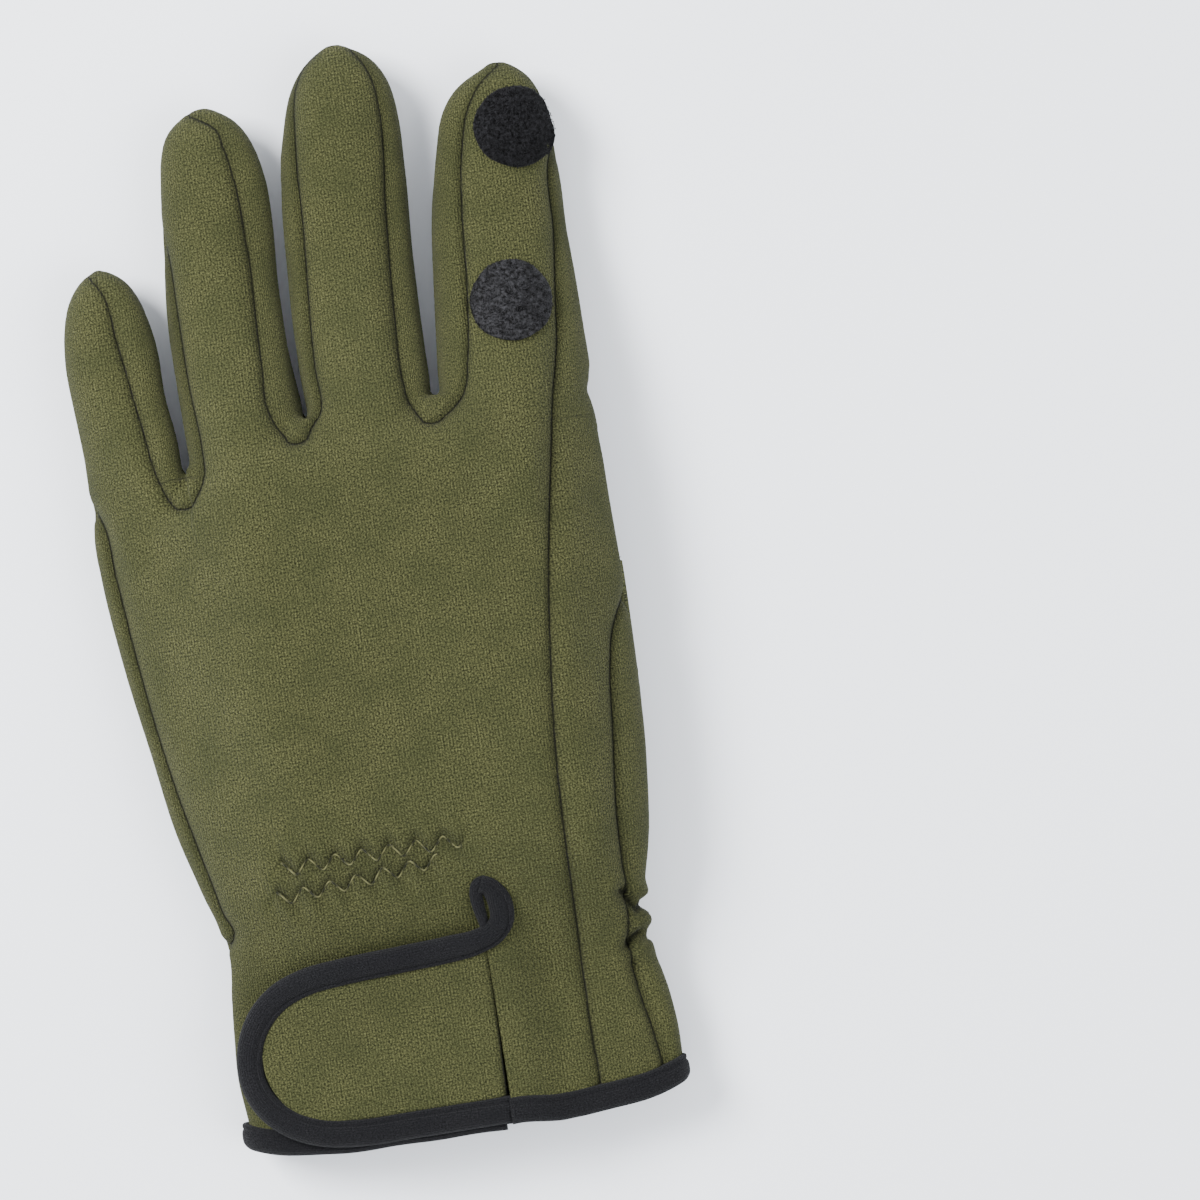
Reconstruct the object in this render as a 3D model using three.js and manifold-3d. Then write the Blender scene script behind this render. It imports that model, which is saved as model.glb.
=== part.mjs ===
// A left-hand neoprene fishing glove, lying on its palm with the thumb folded under it.
// Millimetres: +X towards the thumb side, +Y from the cuff to the fingertips, +Z up, out of the back of the hand.
import * as THREE from "three";
import { mergeVertices } from "three/addons/utils/BufferGeometryUtils.js";
import Module from "manifold-3d";

const wasm = await Module();
wasm.setup();

// Driving sizes of the hand
const handWidth = 126; // palm at its widest, laid flat
const palmLength = 170; // edge of the cuff's binding to the crotches of the long fingers
const palmThickness = 22; // outside, laid empty
const fingerThickness = 20;
const cloth = 2.8; // neoprene between two knit faces
const seamGap = 0.35; // between two panels that a seam joins
const layGap = 0.4; // between two layers that lie on each other
const cuffBow = 4.5; // how far the cuff's two corners stand back from its middle

// Fingers: x is the middle at the crotch and start the crotch's height, as shares of half the hand's width
// and of the palm's length. The tip leans to the side by lean.
const littleFinger = { x: -0.866, start: 0.929, length: 55.8, width: 24.7, lean: -2.1 };
const ringFinger = { x: -0.435, start: 1, length: 78.4, width: 29.5, lean: 2.4 };
const middleFinger = { x: 0.054, start: 1.018, length: 85.8, width: 31.8, lean: 5 };
const indexFinger = { x: 0.614, start: 1.018, length: 75.6, width: 34.6, lean: 6 };

// Thumb, flat under the palm: its axis runs from the side of the hand up and across
const thumbLength = 103;
const thumbWidth = 46;
const thumbThickness = 11;
const thumbAngle = 42.6; // from the hand's own axis, across the palm
const thumbRoot = { x: 0.825, y: 0.482 };
const thumbGripStart = 0.33; // share of the thumb's length where its grip begins

// Cuff: a bound edge, and a slit that the tab closes
const bindingWidth = 6.3;
const bindingThickness = 1.4;
const tabLength = 58.3; // sewn end to the round end
const tabWidth = 33.5;
const tabSeam = 0.194; // share of half the hand's width where the tab is sewn on
const tabHeight = 1.8; // the tab's lower edge above the edge of the cuff
const fastenerThickness = 1.3;
const slitTop = 55;
const slitWidth = 1.6;

// Fold-back tips and their round fasteners
const discDiameter = 20;
const discThickness = 1.3;
const tipSlitWidth = 1.2;
const indexDiscs = { tip: { at: 0.775, x: 0.33 }, lower: { at: 0.225, x: 0.08 } };
const thumbDiscs = { tip: 0.76, lower: 0.373 };

// Outline of the hand from the cuff to the crotches, as shares of half the width and of the palm's length
const palmRows = table(["at", "left", "right", "thick"], [
  [0, -0.841, 0.849, 0.765],
  [0.06, -0.854, 0.848, 0.76],
  [0.15, -0.846, 0.824, 0.75],
  [0.2, -0.835, 0.792, 0.74],
  [0.26, -0.814, 0.806, 0.75],
  [0.36, -0.878, 0.868, 0.84],
  [0.45, -0.94, 0.892, 0.92],
  [0.57, -0.992, 0.917, 1],
  [0.69, -1.037, 0.921, 1],
  [0.81, -1.067, 0.919, 1],
  [0.9, -1.071, 0.916, 0.97],
  [0.97, -1.06, 0.9, 0.84],
  [1.01, -1.02, 0.87, 0.56],
]);

// Finger outlines: at is a share of the finger's length, left and right are shares of half its width
const fingerColumns = ["at", "left", "right", "thick"];
littleFinger.rows = table(fingerColumns, [
  [0, -1.03, 1, 1],
  [0.2, -1, 1.03, 0.98],
  [0.4, -1.01, 0.95, 0.96],
  [0.6, -1, 0.96, 0.93],
  [0.75, -0.9, 0.88, 0.86],
  [0.86, -0.72, 0.72, 0.72],
  [0.93, -0.49, 0.54, 0.54],
  [0.98, -0.22, 0.28, 0.29],
]);
ringFinger.rows = table(fingerColumns, [
  [0, -0.98, 1.06, 1],
  [0.2, -1.03, 0.97, 0.99],
  [0.4, -1.05, 0.93, 0.98],
  [0.6, -1, 0.95, 0.95],
  [0.75, -0.92, 0.92, 0.89],
  [0.86, -0.83, 0.77, 0.76],
  [0.93, -0.68, 0.57, 0.57],
  [0.98, -0.38, 0.27, 0.31],
]);
middleFinger.rows = table(fingerColumns, [
  [0, -0.94, 0.99, 1],
  [0.2, -1.05, 0.96, 0.99],
  [0.4, -1.08, 0.93, 0.98],
  [0.6, -1.04, 0.94, 0.96],
  [0.76, -0.93, 0.92, 0.89],
  [0.87, -0.77, 0.8, 0.75],
  [0.94, -0.54, 0.57, 0.55],
  [0.985, -0.24, 0.23, 0.28],
]);
indexFinger.rows = table(fingerColumns, [
  [0, -1.02, 1.1, 1],
  [0.2, -1.02, 1.02, 0.99],
  [0.4, -1, 0.96, 0.98],
  [0.6, -0.96, 0.92, 0.95],
  [0.75, -0.86, 0.86, 0.88],
  [0.86, -0.72, 0.74, 0.74],
  [0.93, -0.49, 0.58, 0.55],
  [0.98, -0.12, 0.34, 0.29],
]);

// Seams on the back of each finger. A share past 1 runs round the finger's side, out of sight.
const seamColumns = ["at", "x"];
littleFinger.seamLeft = table(seamColumns, [
  [0.1, -1.25],
  [1.06, -1.25],
]);
littleFinger.seamRight = table(seamColumns, [
  [-0.05, 0.6],
  [0.04, 0.46],
  [0.31, 0.32],
  [0.66, 0.17],
  [0.91, 0.01],
  [0.98, -0.19],
]);
ringFinger.seamLeft = table(seamColumns, [
  [-0.2, -0.93],
  [-0.14, -0.76],
  [-0.05, -0.74],
  [0.16, -0.84],
  [0.4, -0.9],
  [0.56, -0.95],
  [0.66, -1.05],
  [1.06, -1.05],
]);
ringFinger.seamRight = table(seamColumns, [
  [-0.06, 0.77],
  [0.03, 0.55],
  [0.19, 0.51],
  [0.59, 0.48],
  [0.77, 0.39],
  [0.86, 0.28],
  [0.93, 0.14],
  [0.98, -0.25],
]);
middleFinger.seamLeft = table(seamColumns, [
  [-0.08, -0.9],
  [-0.03, -0.76],
  [0.1, -0.78],
  [0.51, -0.76],
  [0.78, -0.75],
  [0.85, -0.7],
  [0.91, -0.59],
  [0.96, -0.4],
  [0.99, -0.15],
]);
middleFinger.seamRight = table(seamColumns, [
  [-0.09, 0.83],
  [-0.05, 0.71],
  [0, 0.65],
  [0.24, 0.59],
  [0.5, 0.61],
  [0.79, 0.65],
  [0.87, 0.57],
  [0.93, 0.43],
  [0.97, 0.27],
]);
indexFinger.seamLeft = table(seamColumns, [
  [-0.1, -0.97],
  [-0.07, -0.8],
  [-0.02, -0.68],
  [0.06, -0.62],
  [0.23, -0.56],
  [0.56, -0.54],
  [0.73, -0.48],
  [0.88, -0.28],
  [0.93, -0.13],
  [0.98, 0.13],
]);
indexFinger.seamRight = table(seamColumns, [
  [0.08, 0.72],
  [0.24, 0.75],
  [0.42, 0.8],
  [0.69, 0.87],
  [0.78, 1.1],
  [1.06, 1.1],
]);

// Seams on the hand, as shares of the palm's length and of half the hand's width
const littleSideSeam = table(seamColumns, [
  [-0.1, -1],
  [0.25, -1],
  [0.279, -0.81],
  [0.329, -0.819],
  [0.405, -0.86],
  [0.504, -0.916],
  [0.606, -0.96],
  [0.704, -0.99],
  [0.816, -1.017],
  [0.899, -1.043],
  [0.95, -1.13],
]);
const indexSideSeam = table(seamColumns, [
  [-0.1, 0.532],
  [0.119, 0.525],
  [0.228, 0.533],
  [0.336, 0.541],
  [0.492, 0.562],
  [0.582, 0.587],
  [0.662, 0.616],
  [0.919, 0.743],
  [0.97, 0.77],
]);
const thumbSideSeam = table(seamColumns, [
  [-0.1, 0.79],
  [0.023, 0.778],
  [0.071, 0.76],
  [0.126, 0.733],
  [0.192, 0.722],
  [0.262, 0.745],
  [0.389, 0.765],
  [0.501, 0.8],
  [0.591, 0.829],
  [0.643, 0.863],
  [0.72, 1],
]);
const gripLittleSide = table(seamColumns, [
  [-0.1, -0.62],
  [0.12, -0.63],
  [0.217, -0.6],
  [0.359, -0.692],
  [0.6, -0.84],
  [0.8, -0.92],
  [0.93, -0.956],
]);
const gripThumbSide = table(seamColumns, [
  [-0.1, 0.524],
  [0.312, 0.524],
  [0.724, 0.722],
  [0.75, 0.98],
  [0.85, 0.98],
  [0.92, 0.873],
]);

// Lowest points of the seams between the fingers
const crotches = table(["at", "x"], [
  [0.9, -0.706],
  [0.968, -0.22],
  [0.967, 0.297],
]);

// Thumb outline: at is a share of its length, low its edge towards the cuff and high the one towards the fingers
const thumbRows = table(["at", "low", "high", "thick", "rise"], [
  [0.02, 1.3, -0.37, 1, 0.42],
  [0.11, 1.21, -0.73, 1, 0.36],
  [0.25, 1.12, -1.02, 1, 0.14],
  [0.42, 1.06, -0.97, 1, 0],
  [0.6, 1.03, -0.86, 1, 0],
  [0.76, 0.98, -0.78, 1, 0],
  [0.86, 0.87, -0.76, 0.94, 0],
  [0.93, 0.62, -0.68, 0.82, 0],
  [0.98, 0.25, -0.45, 0.58, 0],
]);

const palmPower = 3.4; // how square the flattened sections are; 2 is an ellipse
const fingerPower = 2.3;
const thumbPower = 2.8;
const palmPoints = 28;
const fingerPoints = 14;
const innerPoints = { palm: 20, finger: 10 };
const flattened = 0.4; // how much the floor presses flat
const middleHeight = fingerThickness / 2 + 0.3; // from the floor to the middle of an unlifted section
const thumbHeight = discThickness + layGap - 0.05 + flattened / 2;
const halfWidth = handWidth / 2;
const tabUnder = layGap + bindingThickness + layGap; // from the back of the hand to the tab's underside
const tabOver = tabUnder + cloth;
const clothEnd = bindingThickness - bindingWidth;
const seamX = tabSeam * halfWidth;
const slitX = seamX - slitWidth;
const above = 120;
const below = -30;
const fingers = [littleFinger, ringFinger, middleFinger, indexFinger];

function table(columns, rows) {
  return rows.map((row) => Object.fromEntries(columns.map((name, i) => [name, row[i]])));
}

// A column of a table between its rows
function between(rows, at, column) {
  if (at <= rows[0].at) return rows[0][column];
  for (let i = 1; i < rows.length; i++) {
    const low = rows[i - 1];
    const high = rows[i];
    if (at <= high.at) return low[column] + ((at - low.at) / (high.at - low.at)) * (high[column] - low[column]);
  }
  return rows[rows.length - 1][column];
}

const smooth = (low, high, value) => THREE.MathUtils.smoothstep(value, low, high);

// How high the thumb below lifts the hand off the floor
const liftHeight = thumbHeight + thumbThickness + 1.3 + palmThickness / 2 - middleHeight;
function lift(x, y) {
  const along = smooth(0.12, 0.4, y / palmLength) * (1 - smooth(0.9, 1.27, y / palmLength));
  const across = smooth(-1.08, -0.4, x / halfWidth) * (1 - 0.5 * smooth(0.6, 0.95, x / halfWidth));
  return liftHeight * along * across;
}

// How high the layers of the cuff lift the part of the back that the tab is sewn to
function raise(x, y) {
  const past = smooth(seamX + 2, indexSideSeam[0].x * halfWidth - 6.5, x);
  return tabOver * (1 - past) * (1 - smooth(0.2, 0.36, y / palmLength));
}

// The cuff's edge is bowed, and the line of the crotches falls away towards the little finger
function bowed(x, y) {
  const nearCuff = 1 - smooth(0, 0.2 * palmLength, y);
  const nearFingers = smooth(0.85 * palmLength, palmLength, y);
  const side = Math.min(1.1, Math.abs(x / halfWidth) / 0.86);
  return y + nearCuff * cuffBow * side ** 4 - nearFingers * 0.06 * palmLength * smooth(0.4, 0.7, -x / halfWidth);
}

function solidOf(geometry) {
  geometry.deleteAttribute("normal");
  geometry.deleteAttribute("uv");
  const merged = mergeVertices(geometry, 1e-4);
  return new wasm.Manifold(
    new wasm.Mesh({
      numProp: 3,
      vertProperties: new Float32Array(merged.attributes.position.array),
      triVerts: new Uint32Array(merged.index.array),
    }),
  );
}

// A closed skin over a row of rings, with a fan over each end
function loft(rings) {
  const count = rings[0].length;
  const points = rings.flat();
  const faces = [];
  for (let r = 0; r + 1 < rings.length; r++) {
    for (let i = 0; i < count; i++) {
      const a = r * count + i;
      const b = r * count + ((i + 1) % count);
      faces.push(a, b, b + count, a, b + count, a + count);
    }
  }
  for (const r of [0, rings.length - 1]) {
    const middle = new THREE.Vector3();
    rings[r].forEach((point) => middle.add(point));
    points.push(middle.divideScalar(count));
    for (let i = 0; i < count; i++) {
      const a = r * count + i;
      const b = r * count + ((i + 1) % count);
      faces.push(points.length - 1, r === 0 ? b : a, r === 0 ? a : b);
    }
  }
  const geometry = new THREE.BufferGeometry().setFromPoints(points);
  geometry.setIndex(faces);
  return solidOf(geometry);
}

// Corners of a flattened round section: how far across and how high each one is
function roundSection(left, right, halfThick, power, count) {
  const corners = [];
  for (let i = 0; i < count; i++) {
    const angle = (2 * Math.PI * (i + 0.5)) / count;
    const c = Math.cos(angle);
    const s = Math.sin(angle);
    const across = (left + right) / 2 - ((right - left) / 2) * Math.sign(c) * Math.abs(c) ** (2 / power);
    corners.push({ across, high: halfThick * Math.sign(s) * Math.abs(s) ** (2 / power) });
  }
  return corners;
}

// The hand without its fingers, grown all round and running on past the cuff
function palmBody(grow, raised = false) {
  const heights = [-0.2, ...palmRows.map((row) => row.at)].map((at) => at * palmLength);
  const count = grow < 0 ? innerPoints.palm : palmPoints;
  return loft(
    heights.map((y) => {
      const left = halfWidth * between(palmRows, y / palmLength, "left") - grow;
      const right = halfWidth * between(palmRows, y / palmLength, "right") + grow;
      const halfThick = (palmThickness / 2) * between(palmRows, y / palmLength, "thick") + grow;
      const forward = y > palmLength ? grow : 0;
      return roundSection(left, right, halfThick, palmPower, count).map(({ across, high }) => {
        const top = raised && high > 0 ? raise(across, y) : 0;
        const z = lift(across, y) + middleHeight + high + top;
        return new THREE.Vector3(across, bowed(across, y) + forward, z);
      });
    }),
  );
}

const fingerY = (finger, at) => finger.start * palmLength + at * finger.length;
const fingerX = (finger, at, share) => finger.x * halfWidth + finger.lean * at + (share * finger.width) / 2;

// A finger grown all round, with a narrower root inside the hand
function fingerBody(finger, grow) {
  const rootDepth = (0.2 * palmLength) / finger.length;
  const roots = table(["at", "width"], [
    [-rootDepth, 0.8],
    [-0.4 * rootDepth, 0.93],
    [0, 1],
  ]);
  const rows = grow < 0 ? finger.rows.filter((row, i) => i % 2 === 0) : finger.rows;
  const steps = [...roots.slice(0, 2), ...rows];
  const count = grow < 0 ? innerPoints.finger : fingerPoints;
  return loft(
    steps.map(({ at }) => {
      const width = between(roots, at, "width");
      const left = fingerX(finger, at, width * between(finger.rows, at, "left")) - grow;
      const right = fingerX(finger, at, width * between(finger.rows, at, "right")) + grow;
      const thick = (fingerThickness / 2) * between(finger.rows, at, "thick") * width + grow;
      const y = fingerY(finger, at) + grow * smooth(0.6, 0.95, at);
      return roundSection(left, right, thick, fingerPower, count).map(
        ({ across, high }) => new THREE.Vector3(across, y, lift(across, y) + middleHeight + high),
      );
    }),
  );
}

const handBody = (grow) => fingers.reduce((body, finger) => body.add(fingerBody(finger, grow)), palmBody(grow));

// A place on the thumb: how far along it and how far across it, in millimetres
const thumbTurn = THREE.MathUtils.degToRad(thumbAngle);
function thumbPlace(along, across) {
  return [
    thumbRoot.x * halfWidth - along * Math.sin(thumbTurn) - across * Math.cos(thumbTurn),
    thumbRoot.y * palmLength + along * Math.cos(thumbTurn) - across * Math.sin(thumbTurn),
  ];
}

function thumbBody(grow) {
  const steps = grow < 0 ? thumbRows.slice(0, -1) : thumbRows;
  const count = grow < 0 ? innerPoints.finger : fingerPoints;
  return loft(
    steps.map(({ at, low, high: far, thick, rise }) => {
      const along = at * thumbLength + grow * (smooth(0.6, 0.95, at) - (at < 0.1 ? 1 : 0));
      const halfThick = (thumbThickness / 2) * thick + grow;
      const wide = thumbWidth / 2;
      return roundSection(wide * low + grow, wide * far - grow, halfThick, thumbPower, count).map(
        ({ across, high }) => {
          const z = thumbHeight + thumbThickness / 2 + rise * liftHeight + high;
          return new THREE.Vector3(...thumbPlace(along, across), z);
        },
      );
    }),
  );
}

// A vertical block over an outline
function prism(points, low = below, high = above) {
  const shape = new THREE.Shape(points.map(([x, y]) => new THREE.Vector2(x, y)));
  const geometry = new THREE.ExtrudeGeometry(shape, { depth: high - low, bevelEnabled: false });
  return solidOf(geometry.translate(0, 0, low));
}

// The same outline, that much larger all round
function larger(points, grow) {
  const turn = THREE.ShapeUtils.isClockWise(points.map(([x, y]) => ({ x, y }))) ? -1 : 1;
  return points.map(([x, y], i) => {
    const [beforeX, beforeY] = points.at(i - 1);
    const [afterX, afterY] = points[(i + 1) % points.length];
    const first = new THREE.Vector2(y - beforeY, beforeX - x).normalize();
    const second = new THREE.Vector2(afterY - y, x - afterX).normalize();
    const corner = first.clone().add(second).normalize();
    const reach = (turn * grow) / Math.max(0.5, corner.dot(first));
    return [x + corner.x * reach, y + corner.y * reach];
  });
}

// Everything above the surface that runs through the middle of the hand's thickness
function upperHalf(shift) {
  const columns = 10;
  const rows = 18;
  const points = [];
  for (let r = 0; r <= rows; r++) {
    for (let c = 0; c <= columns; c++) {
      const x = THREE.MathUtils.lerp(-1.5, 1.5, c / columns) * halfWidth;
      const y = THREE.MathUtils.lerp(-0.2, 1.7, r / rows) * palmLength;
      points.push(new THREE.Vector3(x, y, lift(x, y) + middleHeight + shift));
    }
  }
  const box = new THREE.BoxGeometry(1, 1, 1, columns, rows, 1).toNonIndexed();
  const place = box.attributes.position;
  for (let i = 0; i < place.count; i++) {
    const c = Math.round((place.getX(i) + 0.5) * columns);
    const r = Math.round((place.getY(i) + 0.5) * rows);
    const { x, y, z } = points[r * (columns + 1) + c];
    place.setXYZ(i, x, y, place.getZ(i) > 0 ? above : z);
  }
  return solidOf(box);
}

const handSeam = (rows) => rows.map(({ at, x }) => [x * halfWidth, at * palmLength]);
const fingerSeam = (finger, rows) => rows.map(({ at, x }) => [fingerX(finger, at, x), fingerY(finger, at)]);

// On the palm each finger's seams are those of its back, seen from the other side
const mirroredSeam = (rows) =>
  rows
    .filter(({ at }) => at < 1)
    .map(({ at, x }) => ({ at, x: THREE.MathUtils.clamp(-x, -0.93, 0.93) }));

// The outline of a panel that covers the hand and all four fingers
function panelOutline(littleSide, thumbSide, onPalm) {
  const outline = handSeam(littleSide);
  fingers.forEach((finger, i) => {
    const left = onPalm ? mirroredSeam(finger.seamRight) : finger.seamLeft;
    const right = onPalm ? mirroredSeam(finger.seamLeft) : finger.seamRight;
    outline.push(...fingerSeam(finger, left));
    outline.push(...fingerSeam(finger, [{ at: 1.06, x: left.at(-1).x }, { at: 1.06, x: right.at(-1).x }]));
    outline.push(...fingerSeam(finger, right).reverse());
    if (i < crotches.length) outline.push([crotches[i].x * halfWidth, crotches[i].at * palmLength]);
  });
  outline.push(...handSeam(thumbSide).reverse());
  return outline.filter(([x, y], i) => i === 0 || Math.hypot(x - outline[i - 1][0], y - outline[i - 1][1]) > 0.05);
}

const boxPrism = (x0, x1, y0, y1, low, high) => prism([[x0, y0], [x1, y0], [x1, y1], [x0, y1]], low, high);
const layer = (body, from, to) => body(to).subtract(body(from));
const biggest = (solid) => solid.decompose().sort((a, b) => b.volume() - a.volume())[0];
const palmRaised = (grow) => palmBody(grow, true);

// Everything further up the hand than a line that runs along the cuff's bowed edge
function upFrom(y) {
  const line = Array.from({ length: 15 }, (_, i) => (i / 7 - 1) * 1.2 * halfWidth);
  return prism([...line.map((x) => [x, bowed(x, y)]), [90, 400], [-90, 400]]);
}

// The skin of the hand and of the thumb, open at the cuff
const insideHand = handBody(-cloth);
const insideThumb = thumbBody(-cloth);
const inside = insideHand.add(insideThumb);
const clothOnly = upFrom(clothEnd);
const skin = handBody(0).subtract(inside).intersect(clothOnly);
const skinRaised = layer(palmRaised, -cloth, 0).subtract(inside).intersect(clothOnly);
const upper = upperHalf(0);
const upperGrown = upperHalf(-seamGap);

// Back of the hand, with the slit whose far side the tab lifts
const backOutline = panelOutline(littleSideSeam, indexSideSeam, false);
const backRegion = prism(backOutline).intersect(upper);
const backRegionGrown = prism(larger(backOutline, seamGap)).intersect(upperGrown);
const raisedEnd = 0.36 * palmLength;
const pastSeams = indexSideSeam[0].x * halfWidth + 6;
const lowSide = boxPrism(slitX, pastSeams - 4, -50, raisedEnd + 3);
const highSide = prism([
  [seamX, -50],
  [pastSeams, -50],
  [pastSeams, raisedEnd + 6],
  [slitX - 2, raisedEnd + 6],
  [slitX - 2, slitTop],
  [seamX, slitTop],
]);
const backPanel = skin
  .intersect(backRegion)
  .subtract(lowSide)
  .add(skinRaised.intersect(backRegion).intersect(highSide));

// Grip on the palm and fingers, with the index finger's tip cut free of it
const gripOutline = panelOutline(gripLittleSide, gripThumbSide, true);
const gripRegion = prism(gripOutline).subtract(upperGrown);
const gripRegionGrown = prism(larger(gripOutline, seamGap)).subtract(upper);
const indexFold = fingerY(indexFinger, (indexDiscs.tip.at + indexDiscs.lower.at) / 2);
const indexTip = (shift) => boxPrism(fingerX(indexFinger, 0.5, -1.08), 80, indexFold + shift, 280);
const grip = skin.intersect(gripRegion);
const palmGrip = grip.subtract(indexTip(-tipSlitWidth / 2));
const indexCapGrip = grip.intersect(indexTip(tipSlitWidth / 2));

// Strips of cloth round the sides and between the fingers, where neither of the two reaches
const strips = skin.subtract(backRegionGrown).subtract(gripRegionGrown);
const crotchDepth = 0.82 * palmLength;
const middleLine = (finger) =>
  [-0.2, 0, 1.3].map((at) => [fingerX(finger, at, 0), at < 0 ? crotchDepth : fingerY(finger, at)]);
const fourchette = (from, to) => strips.intersect(prism([...middleLine(from), ...middleLine(to).reverse()]));
const littleSide = strips.intersect(
  prism([[-100, -50], [0, -50], [0, crotchDepth], ...middleLine(littleFinger), [-100, 300]]),
);
const thumbSide = strips.intersect(
  prism([[100, -50], [0, -50], [0, crotchDepth], ...middleLine(indexFinger), [100, 300]]),
);

// The thumb: its back goes on into the side of the hand, and its grip faces the palm
const thumbPalmEnd = 0.745 * palmLength;
const thumbSideOutline = [...handSeam(thumbSideSeam), [100, 0.72 * palmLength], [100, -50]];
const thumbRegion = (grow) =>
  prism(larger(thumbSideOutline, grow)).add(
    boxPrism(0, 100, -60, thumbPalmEnd + grow).subtract(upperHalf(grow)),
  );
const indexSide = thumbSide.subtract(thumbRegion(seamGap));
const thumbSkin = thumbBody(0)
  .subtract(upperHalf(-seamGap))
  .subtract(insideThumb)
  .subtract(insideHand)
  .subtract(handBody(layGap).intersect(prism(larger(gripOutline, seamGap))))
  .subtract(handBody(layGap).subtract(thumbRegion(0)));
const thumbArea = (from, to, grow) => {
  const wide = thumbWidth + grow;
  const corners = [[from, -wide], [to, -wide], [to, wide], [from, wide]];
  return prism(corners.map(([along, across]) => thumbPlace(along, across)), thumbHeight + thumbThickness / 2 - grow);
};
const thumbGripFrom = thumbGripStart * thumbLength;
const thumbFold = ((thumbDiscs.tip + thumbDiscs.lower) / 2) * thumbLength;
const thumbTop = thumbSkin.intersect(thumbArea(thumbGripFrom, 200, 0));
const thumbGrip = thumbTop.intersect(thumbArea(0, thumbFold - tipSlitWidth / 2, 0));
const thumbCapGrip = thumbTop.intersect(thumbArea(thumbFold + tipSlitWidth / 2, 200, 0));
const thumbShell = thumbSide
  .intersect(thumbRegion(0))
  .add(thumbSkin)
  .subtract(thumbArea(thumbGripFrom - seamGap, 200, seamGap));

// Binding round the edge of the cuff: its own outside and inside, less the groove that the cloth stands in
const cuffPart = (body) =>
  layer(body, -cloth - layGap - bindingThickness, layGap + bindingThickness)
    .subtract(layer(body, -cloth - layGap, layGap).intersect(upFrom(clothEnd - seamGap)))
    .intersect(upFrom(-bindingWidth).subtract(upFrom(0)));
const cuffBinding = cuffPart(palmBody)
  .subtract(lowSide.intersect(upperGrown))
  .add(cuffPart(palmRaised).intersect(highSide).intersect(upper));

// Tab over the slit, with its binding, which runs on up the side of the slit
const tabMiddle = tabHeight + tabWidth / 2;
const tabOutline = (grow, end) => {
  const points = [[end, tabMiddle - tabWidth / 2 - grow]];
  const radius = tabWidth / 2;
  const centre = seamX - tabLength + radius;
  for (let i = 0; i <= 12; i++) {
    const angle = -Math.PI / 2 - (Math.PI * i) / 12;
    points.push([centre + (radius + grow) * Math.cos(angle), tabMiddle + (radius + grow) * Math.sin(angle)]);
  }
  points.push([end, tabMiddle + tabWidth / 2 + grow]);
  return points;
};
const tabEnd = seamX - seamGap;
const cuffTab = layer(palmBody, tabUnder, tabOver).intersect(prism(tabOutline(0, tabEnd))).intersect(upper);
const hook = [
  [seamX - 1.5, slitTop],
  [seamX + 3.2, slitTop - 1.5],
  [seamX + 6.2, slitTop - 8],
  [seamX + 5.5, tabMiddle + tabWidth / 2 + 3],
  [seamX + 2, tabMiddle + tabWidth / 2 + 0.5],
  [seamX - 2, tabMiddle + tabWidth / 2 + 1],
  [seamX - 2, tabMiddle + tabWidth / 2 + 6],
];
const tabBinding = layer(palmBody, tabUnder, tabOver + 0.6)
  .intersect(prism(tabOutline(bindingWidth, tabEnd)).subtract(prism(tabOutline(seamGap, 60))))
  .add(layer(palmRaised, layGap, layGap + bindingThickness).intersect(prism(hook)))
  .intersect(upper);
const fastener = layer(palmBody, layGap, layGap + fastenerThickness)
  .intersect(boxPrism(seamX - tabLength + 8, seamX - 24, tabMiddle - 11, tabMiddle + 11))
  .intersect(upper);

// Round fasteners on the backs of the index finger and of the thumb
const discCorners = 20;
function discOver([x, y]) {
  const points = Array.from({ length: discCorners }, (_, i) => {
    const angle = (2 * Math.PI * i) / discCorners;
    return [x + (discDiameter / 2) * Math.cos(angle), y + (discDiameter / 2) * Math.sin(angle)];
  });
  return prism(points);
}
const discLayer = (body) => body(layGap - 0.05 + discThickness).subtract(body(layGap - 0.05));
const indexLayer = discLayer((grow) => fingerBody(indexFinger, grow)).intersect(upperHalf(3));
const thumbLayer = discLayer(thumbBody).intersect(prism([[-99, 0], [99, 0], [99, 250], [-99, 250]], below, thumbHeight + 2));
const onIndex = ({ at, x }) => indexLayer.intersect(discOver([fingerX(indexFinger, at, x), fingerY(indexFinger, at)]));
const onThumb = (at) => thumbLayer.intersect(discOver(thumbPlace(at * thumbLength, 0.1 * thumbWidth)));

const olive = { color: "#57563a", roughness: 0.95, metalness: 0 };
const rubber = { color: "#2b2d30", roughness: 0.6, metalness: 0 };
const tape = { color: "#1b1d21", roughness: 0.9, metalness: 0 };
const pile = { color: "#161719", roughness: 1, metalness: 0 };
const hooks = { color: "#3a3c40", roughness: 0.7, metalness: 0 };

const nodes = {
  back_panel: [backPanel, olive],
  palm_grip: [palmGrip, rubber],
  index_cap_grip: [indexCapGrip, rubber],
  fourchette_little_ring: [fourchette(littleFinger, ringFinger), olive],
  fourchette_ring_middle: [fourchette(ringFinger, middleFinger), olive],
  fourchette_middle_index: [fourchette(middleFinger, indexFinger), olive],
  index_side_strip: [indexSide, olive],
  little_side_strip: [littleSide, olive],
  thumb_shell: [thumbShell, olive],
  thumb_grip: [thumbGrip, rubber],
  thumb_cap_grip: [thumbCapGrip, rubber],
  cuff_tab: [cuffTab, olive],
  tab_binding: [tabBinding, tape],
  cuff_binding: [cuffBinding, tape],
  tab_fastener: [fastener, hooks],
  index_tip_disc: [onIndex(indexDiscs.tip), pile],
  index_lower_disc: [onIndex(indexDiscs.lower), hooks],
  thumb_tip_disc: [onThumb(thumbDiscs.tip), pile],
  thumb_lower_disc: [onThumb(thumbDiscs.lower), hooks],
};

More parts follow.
